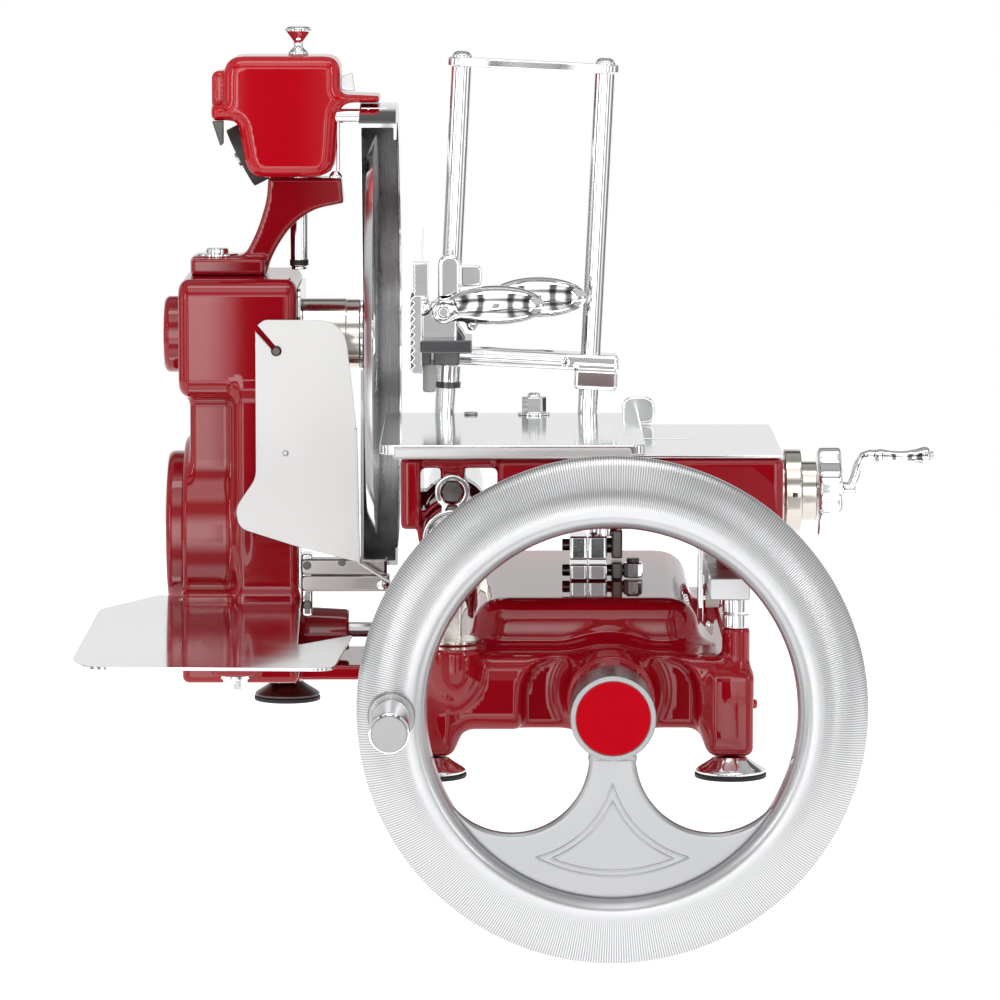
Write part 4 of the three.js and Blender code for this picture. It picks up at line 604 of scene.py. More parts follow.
def addBlend(tree, amount, base, level):
    change = addMath(tree, "MULTIPLY", addMath(tree, "SUBTRACT", level, base), amount)
    return addMath(tree, "ADD", base, change)


# One wall: its level, its list of levels across it and its list up it, multiplied
def addWall(tree, wall, across):
    side = addMath(tree, "MULTIPLY", addRamp(tree, wallLook[wall], across), wallLook[wall + "Level"])
    return addMath(tree, "MULTIPLY", side, addRamp(tree, wallLook[wall + "Height"], addShare(tree, dirZ, -1.0, 1.0)))


front = addWall(tree, "front", addShare(tree, dirX, -1.0, 1.0))
for name in ("gap", "lowGap", "opening"):
    front = addBlend(tree, addWindow(tree, wallLook[name]), front, wallLook[name]["level"])
back = addWall(tree, "back", addMath(tree, "ABSOLUTE", dirX))
walls = addBlend(tree, addShare(tree, dirY, -wallLook["seam"], wallLook["seam"]), front, back)
aside = addShare(tree, addMath(tree, "ABSOLUTE", dirX), *wallLook["side"]["x"])
above = addShare(tree, dirZ, *wallLook["side"]["z"])
walls = addBlend(tree, addMath(tree, "MULTIPLY", aside, above), walls, wallLook["side"]["level"])
seen = addNode(tree, "ShaderNodeLightPath")
level = addMath(tree, "MAXIMUM", walls, seen.outputs["Is Camera Ray"])
tree.links.new(level, tree.nodes["Background"].inputs["Strength"])
tree.nodes["Background"].inputs["Color"].default_value = (1, 1, 1, 1)

softboxes = {
    "topSoftbox": {"place": (0.1, -0.4, 2.6), "aim": (0.0, 0.0, 0.2), "size": (2.2, 0.5), "watts": 10},
    "leftStrip": {"place": (-2.3, -2.0, 1.2), "aim": (-0.1, 0.0, 0.2), "size": (0.14, 1.8), "watts": 9},
    "rightStrip": {"place": (2.3, -2.2, 1.3), "aim": (0.0, 0.0, 0.2), "size": (0.14, 1.8), "watts": 9},
}
for name, box in softboxes.items():
    light = bpy.data.lights.new(name, "AREA")
    light.shape, light.energy = "RECTANGLE", box["watts"]
    light.size, light.size_y = box["size"]
    lamp = bpy.data.objects.new(name, light)
    lamp.location = box["place"]
    aim = lamp.location.copy()
    aim.xyz = np.subtract(box["aim"], box["place"])
    lamp.rotation_euler = aim.to_track_quat("-Z", "Y").to_euler()
    scene.collection.objects.link(lamp)
print("floor and light ready")


# Feet: a chrome cup on a rubber pad
foot = {"pad": [(24, 0.0), (27, 0.0), (27, 3.2), (25.6, 4.0)], "padRadii": [0, 1.2, 0.8, 0],
        "cup": [(26.0, 4.0), (26.6, 5.6), (24.4, 7.4), (17.0, 12.0), (12.0, 15.6)], "cupRadii": [0, 1.2, 4, 6, 0],
        "places": {"foot_front_left": (-82, -197), "foot_front_right": (143, -197), "foot_back_right": (143, 197),
                   "foot_column": (-204, 197)}}
for node, place in foot["places"].items():
    side = node.replace("foot_", "")
    dark = node == "foot_column"
    addPiece("footCup_" + side, turned(foot["cup"], "z", place, foot["cupRadii"], 72),
             "darkSteel" if dark else "chrome", "base", node)
    addPiece("footPad_" + side, turned(foot["pad"], "z", place, foot["padRadii"], 72), "rubber", "base")
footNut = turned(box2(0.0, 13.5, 8.0, 15.8), "z", foot["places"]["foot_column"], 1.2, 6)
addPiece("footNut_column", footNut, "chrome", "base", sharp=20)
print("feet ready")

# Base casting: legs, arched underside, hump and bearing boss, all flowing into each other
base = {"grid": ((-191, -241, 16), (162, 226, 126), 3.0),
        "left": -100, "right": 161, "front": -205, "back": 225, "under": 35, "top": 96, "lean": 8, "foot": 16,
        "leg": 36, "legFlare": 6, "legDepth": 54, "archRound": 18, "frontRound": 30, "sideRound": 22,
        "edge": 14, "corner": 22, "cornerEdge": 9, "hollow": (-84, 145, -181, 216, -30, 88),
        "legCores": ((-82, -190), (143, -190), (143, 197)), "legCore": (17, 14, 80),
        "posts": ((147, -189), (147, 194)), "post": (10.5, 60, 112, 1.5),
        "bridge": (-190.7, -84, 92, 206, 31, 43), "rearPad": (-80, -52, 184, 212, 80, 100)}
hump = {"left": -46, "right": 116, "front": -134, "back": 198, "root": 70, "top": 125, "slope": 11, "round": 22,
        "edge": 26, "flow": 13, "room": (-28, 98, -116, 180, 60, 117), "roomRound": 12}
pocket = {"half": 66, "low": 20, "top": 90, "back": -190, "corner": 40, "edge": 5, "flow": 7}
boss = {"radius": 33, "front": -240, "back": -110, "edge": 2.5, "flow": 16}
bowl = {"x": -66, "y": -196, "radius": 24, "low": 50, "middle": 94, "top": 98, "height": 40, "flow": 9,
        "rimEdge": 3, "rimFlow": 4}


# The base's outline between two ends: a leg at each with an arch between them, and a top that lean narrows
def legLine(near, far, leg, lean, bend):
    foot, under, top, inner = base["foot"], base["under"], base["top"], leg + base["legFlare"]
    return rounded([(near, foot), (near + leg, foot), (near + inner, under), (far - inner, under), (far - leg, foot),
                    (far, foot), (far - lean, top), (near + lean, top)],
                   [0, 0, base["archRound"], base["archRound"], 0, 0, bend, bend])


# The hump's outline between two ends. Both outlines hold its top, and where two fields share a face their blend
# takes (1 - sqrt(1/2)) of its radius off it, so they are drawn that much higher
def humpLine(near, far):
    slope, root, top = hump["slope"], hump["root"], hump["top"] + hump["edge"] * (1 - np.sqrt(0.5))
    return rounded([(near - slope, root), (far + slope, root), (far, top), (near, top)],
                   [0, 0, hump["round"], hump["round"]])


baseFront = legLine(base["left"], base["right"], base["leg"], base["lean"], base["frontRound"])
baseSide = legLine(base["front"], base["back"], base["legDepth"], 0, base["sideRound"])
humpFront = humpLine(hump["left"], hump["right"])
humpSide = humpLine(hump["front"], hump["back"])
pocketLine = rounded(box2(driveX - pocket["half"], driveX + pocket["half"], pocket["low"], pocket["top"]),
                     [0, 0, pocket["corner"], pocket["corner"]])


def baseField(x, y, z):
    body = shared(outlineField(x, z, baseFront), outlineField(y, z, baseSide), base["edge"])
    plan = (base["left"], base["right"], base["front"], base["back"], -endless, endless)
    body = shared(body, blockField(x, y, 0 * z, *plan, base["corner"]), base["cornerEdge"])
    top = shared(outlineField(x, z, humpFront), outlineField(y, z, humpSide), hump["edge"])
    body = joined(body, top, hump["flow"])
    niche = shared(outlineField(x, z, pocketLine), y - pocket["back"], pocket["edge"])
    body = carved(body, niche, pocket["flow"])
    cup = eggField(x, y, z, (bowl["x"], bowl["y"], bowl["middle"]), (bowl["radius"], bowl["radius"], bowl["height"]))
    rim = discField(x - bowl["x"], y - bowl["y"], z, bowl["radius"], bowl["low"], bowl["top"],
                    bowl["rimEdge"])
    body = joined(body, shared(cup, rim, bowl["rimFlow"]), bowl["flow"])
    body = carved(body, blockField(x, y, z, *base["hollow"], 6), 3)
    body = carved(body, blockField(x, y, z, *hump["room"], hump["roomRound"]), 3)
    halfX, halfY, coreTop = base["legCore"]
    for px, py in base["legCores"]:
        core = blockField(x, y, z, px - halfX, px + halfX, py - halfY, py + halfY, base["foot"], coreTop, 6)
        body = joined(body, core, 6)
    bearing = discField(x - driveX, z - driveZ, y, boss["radius"], boss["front"], boss["back"], boss["edge"])
    body = joined(body, bearing, boss["flow"])
    for px, py in base["posts"]:
        body = joined(body, discField(x - px, y - py, z, *base["post"]), 8)
    body = joined(body, blockField(x, y, z, *base["rearPad"], 2), 5)
    return joined(body, blockField(x, y, z, *base["bridge"], 2), 4)


addPiece("baseCasting", casting(baseField, *base["grid"]), "redPaint", "base", "base_casting")
print("base ready")

# Guide bars and posts on the base
guides = {"x": -66, "z": 178, "radius": 22, "front": -186, "back": 208, "side": (127, 157, 134.3, 150.0),
          "sideEnds": (-201, 206), "postX": 147, "posts": {"front": -189, "back": 194}}
near, far = guides["front"], guides["back"]
barLine = [(0, near + 12), (17.6, near + 10), (19.6, near), (guides["radius"], near), (guides["radius"], far),
           (19.6, far), (17.6, far - 10), (0, far - 12)]
addPiece("mainGuideBar", turned(barLine, "y", (guides["x"], guides["z"]), [0, 5, 0.6, 0.9, 0.9, 0.6, 5, 0]), "chrome",
         "base", "main_guide_bar")
addPiece("frontPost", [slab(rounded(box2(-73, -59, -179, -165), 1.5), "z", 98.3, 155.6, 0.8),
                       turned(box2(0, 22, 98.3, 101.3), "z", (-66, -172), 0.8)],
         "nickel", "base", "main_post_front")
addPiece("backPost", slab(rounded(box2(-73, -59, 191, 205), 1.5), "z", 100.3, 155.6, 0.8), "nickel", "base",
         "main_post_back")
addPiece("sideGuideBar", slab(rounded(box2(*guides["side"]), 2), "y", *guides["sideEnds"], 0.8), "steel", "base",
         "side_guide_bar")
for side, y in guides["posts"].items():
    post = [(0, 112.3), (10.4, 112.3), (10.4, 121.9), (9.5, 123.1), (10.4, 124.3), (10.4, 134.0), (0, 134.0)]
    addPiece("sidePost_" + side, turned(post, "z", (guides["postX"], y), [0, 0.7, 0.2, 0.4, 0.2, 0.7, 0], 64),
             "chrome", "base", "side_post_" + side)
print("guides ready")

# Flywheel: convex band, web with two round openings, long hub, and the plain inlay
wheel = {"grid": ((-86, -306, -74), (191, -296, 66), 1.6),
         "rim": [(188, -286), (188, -293.5), (183.5, -299), (175, -305.2), (163, -311.2), (152, -313.8), (144, -313.4),
                 (138.5, -309), (136, -302), (136, -286)],
         "rimRadii": [1.5, 6, 8, 12, 12, 10, 6, 6, 6, 1.5], "web": (-306, -296), "hole": (73.9, -31.9, 56.7),
         "neck": 17.2, "neckOver": 2, "webRadius": 137.5, "webHalf": 5, "webEdge": 3.5, "webFlow": 3,
         "panel": {"hole": 76.5, "arc": 120.3, "step": 4.2, "bead": 0.9, "proud": 0.15},
         "hub": [(27.6, -326.4), (27.6, -329), (31.3, -329), (31.3, -275), (12, -275)],
         "inlay": (27.3, -328.6, -326.7)}
addPiece("flywheelRim", turned(wheel["rim"], *driveAxis, wheel["rimRadii"], 256, ring=True), "wheelSilver",
         "flywheel", "flywheel")
holeX, holeZ, holeRadius = wheel["hole"]


def webField(x, y, z):
    u, v = x - driveX, z - driveZ
    flow = wheel["webFlow"]
    flat = np.maximum(np.sqrt(u * u + v * v) - wheel["webRadius"], v - holeZ)
    for side in (-1, 1):
        flat = carved(flat, np.sqrt((u - side * holeX) ** 2 + (v - holeZ) ** 2) - holeRadius, flow)
    neck = np.maximum(np.abs(u) - wheel["neck"], np.abs(v - holeZ / 2) + holeZ / 2 - wheel["neckOver"])
    flat = joined(flat, neck, flow)
    return shared(flat, np.abs(y - sum(wheel["web"]) / 2) - wheel["webHalf"], wheel["webEdge"])


addPiece("flywheelWeb", casting(webField, *wheel["grid"]), "webSilver", "flywheel")


# The panel's outline: arcs about both openings, closed by an arc about the hub; shrink moves all of them inwards
def panelLine(shrink):
    r, arc = wheel["panel"]["hole"] + shrink, wheel["panel"]["arc"] - shrink
    top = -np.degrees(np.arccos(holeX / r))
    distance = np.hypot(holeX, holeZ)
    meet = (arc ** 2 - r ** 2 - distance ** 2) / (2 * r * distance)
    toHub = np.degrees(np.arctan2(holeZ, -holeX))
    low = toHub + np.degrees(np.arccos(np.clip(meet, -1, 1)))
    left = ringLine(-holeX, holeZ, r, 40, top, low if low < top else low - 360)
    corner = left[-1]
    lowAngle = np.degrees(np.arctan2(corner[1], corner[0]))
    bottom = ringLine(0, 0, arc, 40, lowAngle, -180 - lowAngle)
    right = left[::-1] * (-1, 1)
    line = np.concatenate([left, bottom[1:-1], right[:-1]])
    return carried("y", line + (driveX, driveZ), wheel["web"][0] + wheel["panel"]["proud"])


for number, shrink in enumerate((0.0, wheel["panel"]["step"])):
    addPiece("panelBead_" + str(number), tube(panelLine(shrink), wheel["panel"]["bead"], 10, True, (0.0, 1.0, 0.0)),
             "webSilver", "flywheel")
addPiece("flywheelHub", turned(wheel["hub"], *driveAxis, [0, 0.2, 0.7, 1.0, 0.5]), "spunChrome", "flywheel")
inlayRadius, inlayFront, inlayBack = wheel["inlay"]
addPiece("hubInlay", turned([(0, inlayFront), (inlayRadius, inlayFront), (inlayRadius, inlayBack)], *driveAxis,
                            [0, 0.5, 0]), "brightRedPaint", "flywheel", "hub_inlay")

# Wheel handle: pin with its flange in the rim and its head plate, and the turning grip; then the bearing's collar
handle = {"x": driveX - 161.6, "pin": [(0, -403.3), (13.3, -403.3), (13.3, -400.4), (6, -400.4), (6, -321),
                                      (17.5, -321), (17.5, -304)],
          "grip": [(13.0, -400), (15, -398.2), (15, -323), (13, -321.4)]}
addPiece("handlePin", turned(handle["pin"], "y", (handle["x"], driveZ), [0, 1.0, 0.4, 0, 0, 1.4, 0]), "spunChrome",
         "flywheel", "handle_pin")
addPiece("handleGrip", turned(handle["grip"], "y", (handle["x"], driveZ), [0.4, 1.6, 1.6, 0.4]), "chrome",
         "handle", "handle_grip")
addPiece("frontCollar", turned(box2(0, 31, -274.7, -240.3), *driveAxis, 1.2),
         "chrome", "base", "front_bearing_collar")
print("flywheel ready")

# Column: foot, drum, neck and head flow into one casting
column = {"grid": ((-286, 37, 15), (-151, 229, 354), 2.4),
          "foot": (-283, -191, 73, 227, 31, 104), "neck": (-277, -191, 94, 206, 90, 275),
          "spine": (-240, -191, 73, 227, 84, 270), "edge": 5, "flow": 9, "right": -191,
          "head": (-285, 72, 228, 259, 353), "headCorner": 15, "headEdge": 9, "drum": (74, 146.5, -283, -232),
          "bearing": (20, 16.5, -215, -152), "taper": 0.6,
          "ledge": (-256, -224, 38, 78, 41.4, 49.4), "leg": (-222, -193, 179, 215, 16, 60)}


def columnField(x, y, z):
    foot, neck, spine = [blockField(x, y, z, *column[part], column["edge"]) for part in ("foot", "neck", "spine")]
    body = joined(joined(foot, neck, column["flow"]), spine, column["flow"])
    radius, middle, outer, inner = column["drum"]
    body = joined(body, discField(y - bladeY, z - middle, x, radius, outer, inner, 4), column["flow"])
    right = column["right"]
    left, front, back, low, high = column["head"]
    side = blockField(0 * x, y, z, -endless, endless, front, back, low, high, column["headCorner"])
    head = shared(side, np.abs(x - (left + right) / 2) - (right - left) / 2, column["headEdge"])
    body = joined(body, head, column["flow"])
    wide, narrow, start, end = column["bearing"]
    taper = (wide - narrow) / (end - right) * column["taper"]
    body = joined(body, discField(y - bladeY, z - driveZ, x, wide, start, end, 1.5, taper), 7)
    body = joined(body, blockField(x, y, z, *column["leg"], 3), 3)
    return joined(body, blockField(x, y, z, *column["ledge"], 3), 6)


addPiece("columnCasting", casting(columnField, *column["grid"]), "redPaint", "base",
         "column_housing")
sideCover = {"z": 146.5, "ring": [(52, -283.3), (63, -283.3), (63, -293), (61, -296.5), (52, -296.5)],
             "ringRadii": [0, 0.8, 2, 2.5, 0],
             "dome": [(0, -299.3), (34, -299.1), (50, -297.6), (55, -296.0), (55, -294.5)]}
coverAxis = ("x", (bladeY, sideCover["z"]))
addPiece("coverRing", turned(sideCover["ring"], *coverAxis, sideCover["ringRadii"], 160, ring=True), "redPaint",
         "base")
addPiece("roundSideCover", turned(sideCover["dome"], *coverAxis, [0, 8, 8, 1.5, 0], 128), "chrome", "base",
         "round_side_cover")
cap = [(0, -297.6), (21.5, -297.6), (24, -299.3), (28, -299.3), (30.7, -296.5), (30.7, -285.3)]
addPiece("shaftEndCap", turned(cap, *bladeAxis, [0, 1.2, 1.0, 1.5, 2, 0], 96), "redPaint", "base",
         "shaft_end_cap")
addPiece("columnFacePlate", slab(rounded(box2(84, 216, 92, 345), 10), "x", -190.7, -188.1, 0.6), "chrome", "base",
         "column_face_plate")
spindle = [(0, -188.0), (29, -188.0), (29, -153.6), (28.3, -153.0), (28.3, -142.3), (0, -142.3)]
addPiece("spindleHousing", turned(spindle, *bladeAxis, [0, 0.5, 0.3, 0.3, 0.8, 0]), "nickel", "base",
         "spindle_housing")
addPiece("deflectorPin", turned([(0, 65.5), (3.2, 65.5), (3.2, 76)], "y", (-207, 297.3), [0, 0.8, 0], 32), "darkSteel",
         "base")
print("column ready")

# Blade, and the ring guard round its far side
guard = {"start": -98.0, "end": 112.0, "line": [(182.6, -141.0), (186.0, -142.0), (186.0, -112.0), (172.0, -112.0),
                                               (172.0, -114.0), (182.6, -114.0)],
         "plate": (14.0, 184.0, -142.0, -139.7)}


# A profile of radius and place swept about the blade's line from one angle to another, both ends closed
def sweptSector(profile, radii, start, end, steps=120):
    line = rounded(profile, radii)
    angle = np.radians(np.linspace(start, end, steps))[:, None]
    uv = np.stack([bladeY + line[:, 0] * np.cos(angle), bladeZ + line[:, 0] * np.sin(angle)], -1)
    points = carried("x", uv, line[:, 1]).reshape(-1, 3)
    count = len(line)
    faces = gridFaces(steps, count) + [list(range(count)), list(range(len(points) - count, len(points)))[::-1]]
    return points, faces


guardShells = [sweptSector(guard["line"], [0.5, 0.8, 1.2, 0.6, 0.6, 0.8], guard["start"], guard["end"]),
               sweptSector(box2(*guard["plate"]), 0.4, guard["start"], guard["end"]),
               turned(box2(14, 29, -142, -139.7), *bladeAxis, 0.5, ring=True)]
addPiece("bladeGuard", guardShells, "chrome", "base", "blade_guard")
addPiece("guardLiner", sweptSector(box2(182.25, 182.7, -140.4, -114.6), 0.1,
                                   guard["start"] + 0.5, guard["end"] - 0.5), "guardSteel", "base")
bladeEdge = [(0, -139.2), (24, -139.2), (24, -136.4), (112, -136.4), (146, -136.1), (159.6, -130.1), (160, -129.6),
             (146, -133.3), (112, -133.6), (0, -133.6)]
addPiece("blade", turned(bladeEdge, *bladeAxis, [0, 0.5, 0.5, 0, 1.5, 0, 0, 1.5, 0, 0], 192), "bladeSteel",
         "blade", "blade")
bladeNut = [(0, -133.5), (17, -133.5), (17, -131.6), (14, -130.3), (0, -130.3)]
addPiece("bladeNut", turned(bladeNut, *bladeAxis, [0, 0, 0.6, 0.8, 0], 72), "chrome", "blade", "blade_nut")
print("blade ready")


# Sharpener: arm on the column's head, post, hood with its knob and fittings, and the stone
arm = {"grid": ((-277, 121, 353), (-155, 179, 431), 1.5),
       "line": [(-276.7, 353.3), (-218, 353.3), (-210.8, 371.8), (-197.8, 391.9), (-179.3, 405.6), (-155.2, 410.4),
                (-156.8, 430.4), (-215.3, 430.4), (-216.6, 413.1), (-223.9, 388.7), (-234.9, 367.2), (-276.7, 366.5)],
       "radii": [1.5, 5, 10, 10, 10, 1.5, 1.5, 1.5, 10, 12, 8, 3], "half": 18,
       "foot": (-276.7, -218, 122, 178, 353.3, 366.5),
       "cap": [(0, 366.6), (17, 366.6), (17, 369.4), (9.4, 369.8), (9.0, 373.4), (0, 373.8)], "capX": -257}
armLine = rounded(arm["line"], arm["radii"])


def armField(x, y, z):
    body = shared(outlineField(x, z, armLine), np.abs(y - bladeY) - arm["half"], 3)
    return joined(body, blockField(x, y, z, *arm["foot"], 3), 5)


addPiece("sharpenerArm", casting(armField, *arm["grid"]), "redPaint", "base",
         "sharpener_arm")
addPiece("armCap", turned(arm["cap"], "z", (arm["capX"], bladeY), [0, 0.9, 0.9, 0.3, 1.2, 0], 96), "chrome", "base")

post = {"x": -191.4, "radius": 7, "line": [(0, 356.2), (6.2, 356.2), (6.2, 358.4), (7, 359.0), (7, 519.5), (0, 519.5)],
        "ring": box2(6.6, 7.5, 359.6, 364.2),
        "knob": [(0, 528.3), (8.2, 528.3), (8.2, 530.6), (4.2, 533.6), (3.4, 538.6), (10.9, 547.4), (10.4, 549.6),
                 (8.2, 550.9), (0, 551.0)]}
addPiece("sharpenerPost", turned(post["line"], "z", (post["x"], bladeY), [0, 0.5, 0.3, 0.4, 0.8, 0], 64), "chrome",
         "sharpener", "sharpener_post")
addPiece("postRing", turned(post["ring"], "z", (post["x"], bladeY), 0.3, 64, ring=True), "rubber", "sharpener")
addPiece("sharpenerKnob", turned(post["knob"], "z", (post["x"], bladeY), [0, 0.8, 1.2, 3.5, 4, 1.6, 1.2, 2.5, 0], 96),
         "chrome", "sharpener", "sharpener_knob")

hood = {"grid": ((-262, 111, 429), (-125, 189, 529), 1.6),
        "line": [(-250, 528), (-250, 490.8), (-260, 488.8), (-260, 476), (-240, 476), (-232, 430.7), (-162, 430.7),
                 (-158, 490.8), (-126, 491.2), (-126, 496.6), (-157, 498), (-157, 528)],
        "radii": [16, 3, 3, 5, 7, 15, 18, 12, 2, 2, 6, 16], "half": 38, "round": 11,
        "ear": (-260, -246, 128, 172, 486, 516), "room": (-242, -166, 120, 180, 400, 519),
        "side": (-290, -226, 120, 180, 400, 479), "sleeve": (11, 432, 526)}
hoodLine = rounded(hood["line"], hood["radii"])


def hoodField(x, y, z):
    body = shared(outlineField(x, z, hoodLine), np.abs(y - bladeY) - hood["half"], hood["round"])
    body = joined(body, blockField(x, y, z, *hood["ear"], 5.5), 3)
    body = carved(body, blockField(x, y, z, *hood["room"], 5), 3)
    body = carved(body, blockField(x, y, z, *hood["side"], 4), 3)
    radius, low, high = hood["sleeve"]
    return joined(body, discField(x - post["x"], y - bladeY, z, radius, low, high, 1), 3)


addPiece("sharpenerHood", casting(hoodField, *hood["grid"]), "brightRedPaint", "sharpener",
         "sharpener_hood")
fittings = {"wedge": [(-259, 476.6), (-250.2, 476.6), (-250.4, 458.4), (-252.6, 457.2)],
            "tab": [(-156.6, 501), (-145.6, 500.2), (-147.6, 514.8), (-156.6, 511.6)],
            "clamp": box2(-141, -119.4, 480, 487.4)}
addPiece("hoodWedge", slab(rounded(fittings["wedge"], 0.8), "y", 113, 128, 0.5), "darkSteel", "sharpener")
addPiece("hoodTab", slab(rounded(fittings["tab"], 0.8), "y", 128, 131, 0.4), "steel", "sharpener")
addPiece("hoodRail", bar((-164, 122, 480.5), (-139.8, 122, 480.5), 5.8, 0.8), "chrome", "sharpener")
addPiece("hoodClamp", [slab(rounded(fittings["clamp"], 1.0), "y", 116, 127, 0.6),
                       bar((-124.6, 112.5, 483.7), (-124.6, 116.4, 483.7), 2.9, 0.5, 32),
                       bar((-134.6, 112.5, 483.7), (-134.6, 116.4, 483.7), 2.9, 0.5, 32)], "chrome", "sharpener")
addPiece("hoodPin", [bar((-159, 122, 436.5), (-159, 122, 478), 1.4, 0.3, 24),
                     turned([(0, 431.2), (5.2, 431.2), (5.2, 433.4), (2.8, 436.4), (0, 436.8)], "z", (-161, 122),
                            [0, 0.6, 0.8, 0.6, 0], 40)], "chrome", "sharpener")
stone = {"x": -232.2, "z": 448.5, "lean": -27, "line": box2(5.3, 25, -238.7, -225.7)}
points, faces = turned(stone["line"], "x", (bladeY, stone["z"]), 0.7, 96, ring=True)
addPiece("grindingWheel", (leaned(points, stone["x"], stone["z"], stone["lean"]), faces), "stone", "grinding_wheel",
         "grinding_wheel")
print("sharpener ready")

# Carriage: a shell with two sleeves round the main bar, shoes over the side bar, and its cover plate
carriage = {"grid": ((-106, -151, 147), (185, 81, 236), 2.4),
            "shell": (-32, 184, -150, 80, 181, 235), "inside": (-24, 176, -142, 72, 100, 229),
            "rib": (-30, 182, -18, 18, 181, 190), "wing": (-105, -90, -150, 60, 181, 235),
            "web": (-103, -30, -142, 52, 227, 235), "shoe": (137, 157, -60, 40, 150.3, 190),
            "sleeves": ((-140, -105), (-12, 18)), "sleeve": 26.5, "neck": 9, "bore": 22.3,
            "lugSlot": (-22, 118, -44, -17, 180, 240)}


def carriageField(x, y, z):
    body = blockField(x, y, z, *carriage["shell"], 5)
    body = carved(body, blockField(x, y, z, *carriage["inside"], 4), 3)
    for part, edge, flow in (("wing", 4, 3), ("web", 2, 5), ("rib", 2, 4), ("shoe", 2, 5)):
        body = joined(body, blockField(x, y, z, *carriage[part], edge), flow)
    barX, barZ, half = guides["x"], guides["z"], carriage["neck"]
    for near, far in carriage["sleeves"]:
        body = joined(body, discField(x - barX, z - barZ, y, carriage["sleeve"], near, far, 2), 5)
        body = joined(body, blockField(x, y, z, barX - half, barX + half, near, far, barZ, 229, 2), 3)
    body = carved(body, np.sqrt((x - barX) ** 2 + (z - barZ) ** 2) - carriage["bore"] + 0 * y, 1.5)
    return carved(body, blockField(x, y, z, *carriage["lugSlot"], 2), 2)


addPiece("carriageCasting", casting(carriageField, *carriage["grid"]), "redPaint", "carriage",
         "carriage_casting")


# A plate of grid cells with some left open: top and bottom quads of each kept cell, and walls where it has no
# neighbour
def pierced(us, vs, opened, low, high):
    columns, rows = len(us), len(vs)
    u, v = np.meshgrid(us, vs)
    flat = np.stack([u.ravel(), v.ravel()], -1)
    points = np.concatenate([carried("z", flat, low), carried("z", flat, high)])
    kept = {(i, j) for i in range(columns - 1) for j in range(rows - 1)} - set(opened)
    faces, over = [], columns * rows
    for i, j in kept:
        a, d = j * columns + i, (j + 1) * columns + i
        b, c = a + 1, d + 1
        faces += [[a, d, c, b], [over + a, over + b, over + c, over + d]]
        for near, p, q in (((i, j - 1), a, b), ((i + 1, j), b, c), ((i, j + 1), c, d), ((i - 1, j), d, a)):
            if near not in kept:
                faces.append([p, q, over + q, over + p])
    return points, faces


coverPlate = ([-32, -22, 118, 184], [-150, -34, -26, 80], [(1, 1)], 235.3, 238.0)
addPiece("carriageCover", pierced(*coverPlate), "polishedSheet", "carriage", "carriage_cover_plate", bevel=0.7)
link = {"halves": ((24.4, 38.2), (38.6, 53.4)), "upper": (141.5, 160), "lower": (125.3, 138), "shank": (57, 65.5),
        "nut": box2(0, 7.6, 126, 137.6), "nutCap": box2(0, 5, 137.4, 141)}


# Two cheeks side by side between two heights, and the dark shank beside them
def linkCheeks(low, high):
    return [slab(rounded(box2(left, right, -18, 18), 2.2), "z", low, high, 1.4) for left, right in link["halves"]]


def linkShank(low, high):
    return slab(rounded(box2(*link["shank"], -12, 14), 2), "z", low, high, 1.0)


addPiece("linkBlockUpper", linkCheeks(*link["upper"]) + [
    turned(box2(0, 11, 159, 180.6), "z", (51, 0), 0.8, 64)], "chrome", "carriage",
    "link_block_upper")
addPiece("linkShankUpper", [linkShank(142, 164), bar((52, 0, 151), (58, 0, 151), 6, 0.6, 40),
                            bar((18.6, 0, 151.5), (25.6, 0, 151.5), 4.6, 0.8, 32)], "darkSteel", "carriage")
addPiece("linkBlockLower", linkCheeks(*link["lower"]) + [turned(link["nut"], "z", (74, 0), 1.0, 12)], "chrome", "base",
         "link_block_lower", sharp=25)
addPiece("linkShankLower", [linkShank(125.6, 138.4), bar((52, 0, 131.5), (68, 0, 131.5), 4.5, 0.6, 40),
                            bar((18.6, 0, 131.5), (25.6, 0, 131.5), 4.6, 0.8, 32),
                            turned(link["nutCap"], "z", (74, 0), 0.8, 40)], "darkSteel", "base")
addPiece("sleeveBoss", turned(box2(9, 13.4, -146, -139), "y", (-66, 209), 1.2, 64, ring=True),
         "chrome", "carriage")
addPiece("sleeveBolt", turned(box2(0, 8.6, -142.5, -139), "y", (-66, 209), 0.8, 6),
         "darkSteel", "carriage", sharp=25)
roller = {"y": -135, "z": 127, "line": box2(3.4, 7, 126, 136)}
addPiece("rollerBracket", [slab(rounded([(-145, 180.6), (-125, 180.6), (-125, 118), (-135, 106), (-145, 118)],
                                        [0, 0, 8, 9, 8]), "x", 120, 124, 0.8),
                           bar((122, roller["y"], roller["z"]), (137.5, roller["y"], roller["z"]), 3, 0.5, 32),
                           bar((136.3, roller["y"], roller["z"]), (138.3, roller["y"], roller["z"]), 4.6, 0.6, 40)],
         "chrome", "carriage", "roller_bracket")
addPiece("holdDownRoller", turned(roller["line"], "x", (roller["y"], roller["z"]), 0.8, 64, ring=True), "nylon",
         "roller", "hold_down_roller")
print("carriage ready")

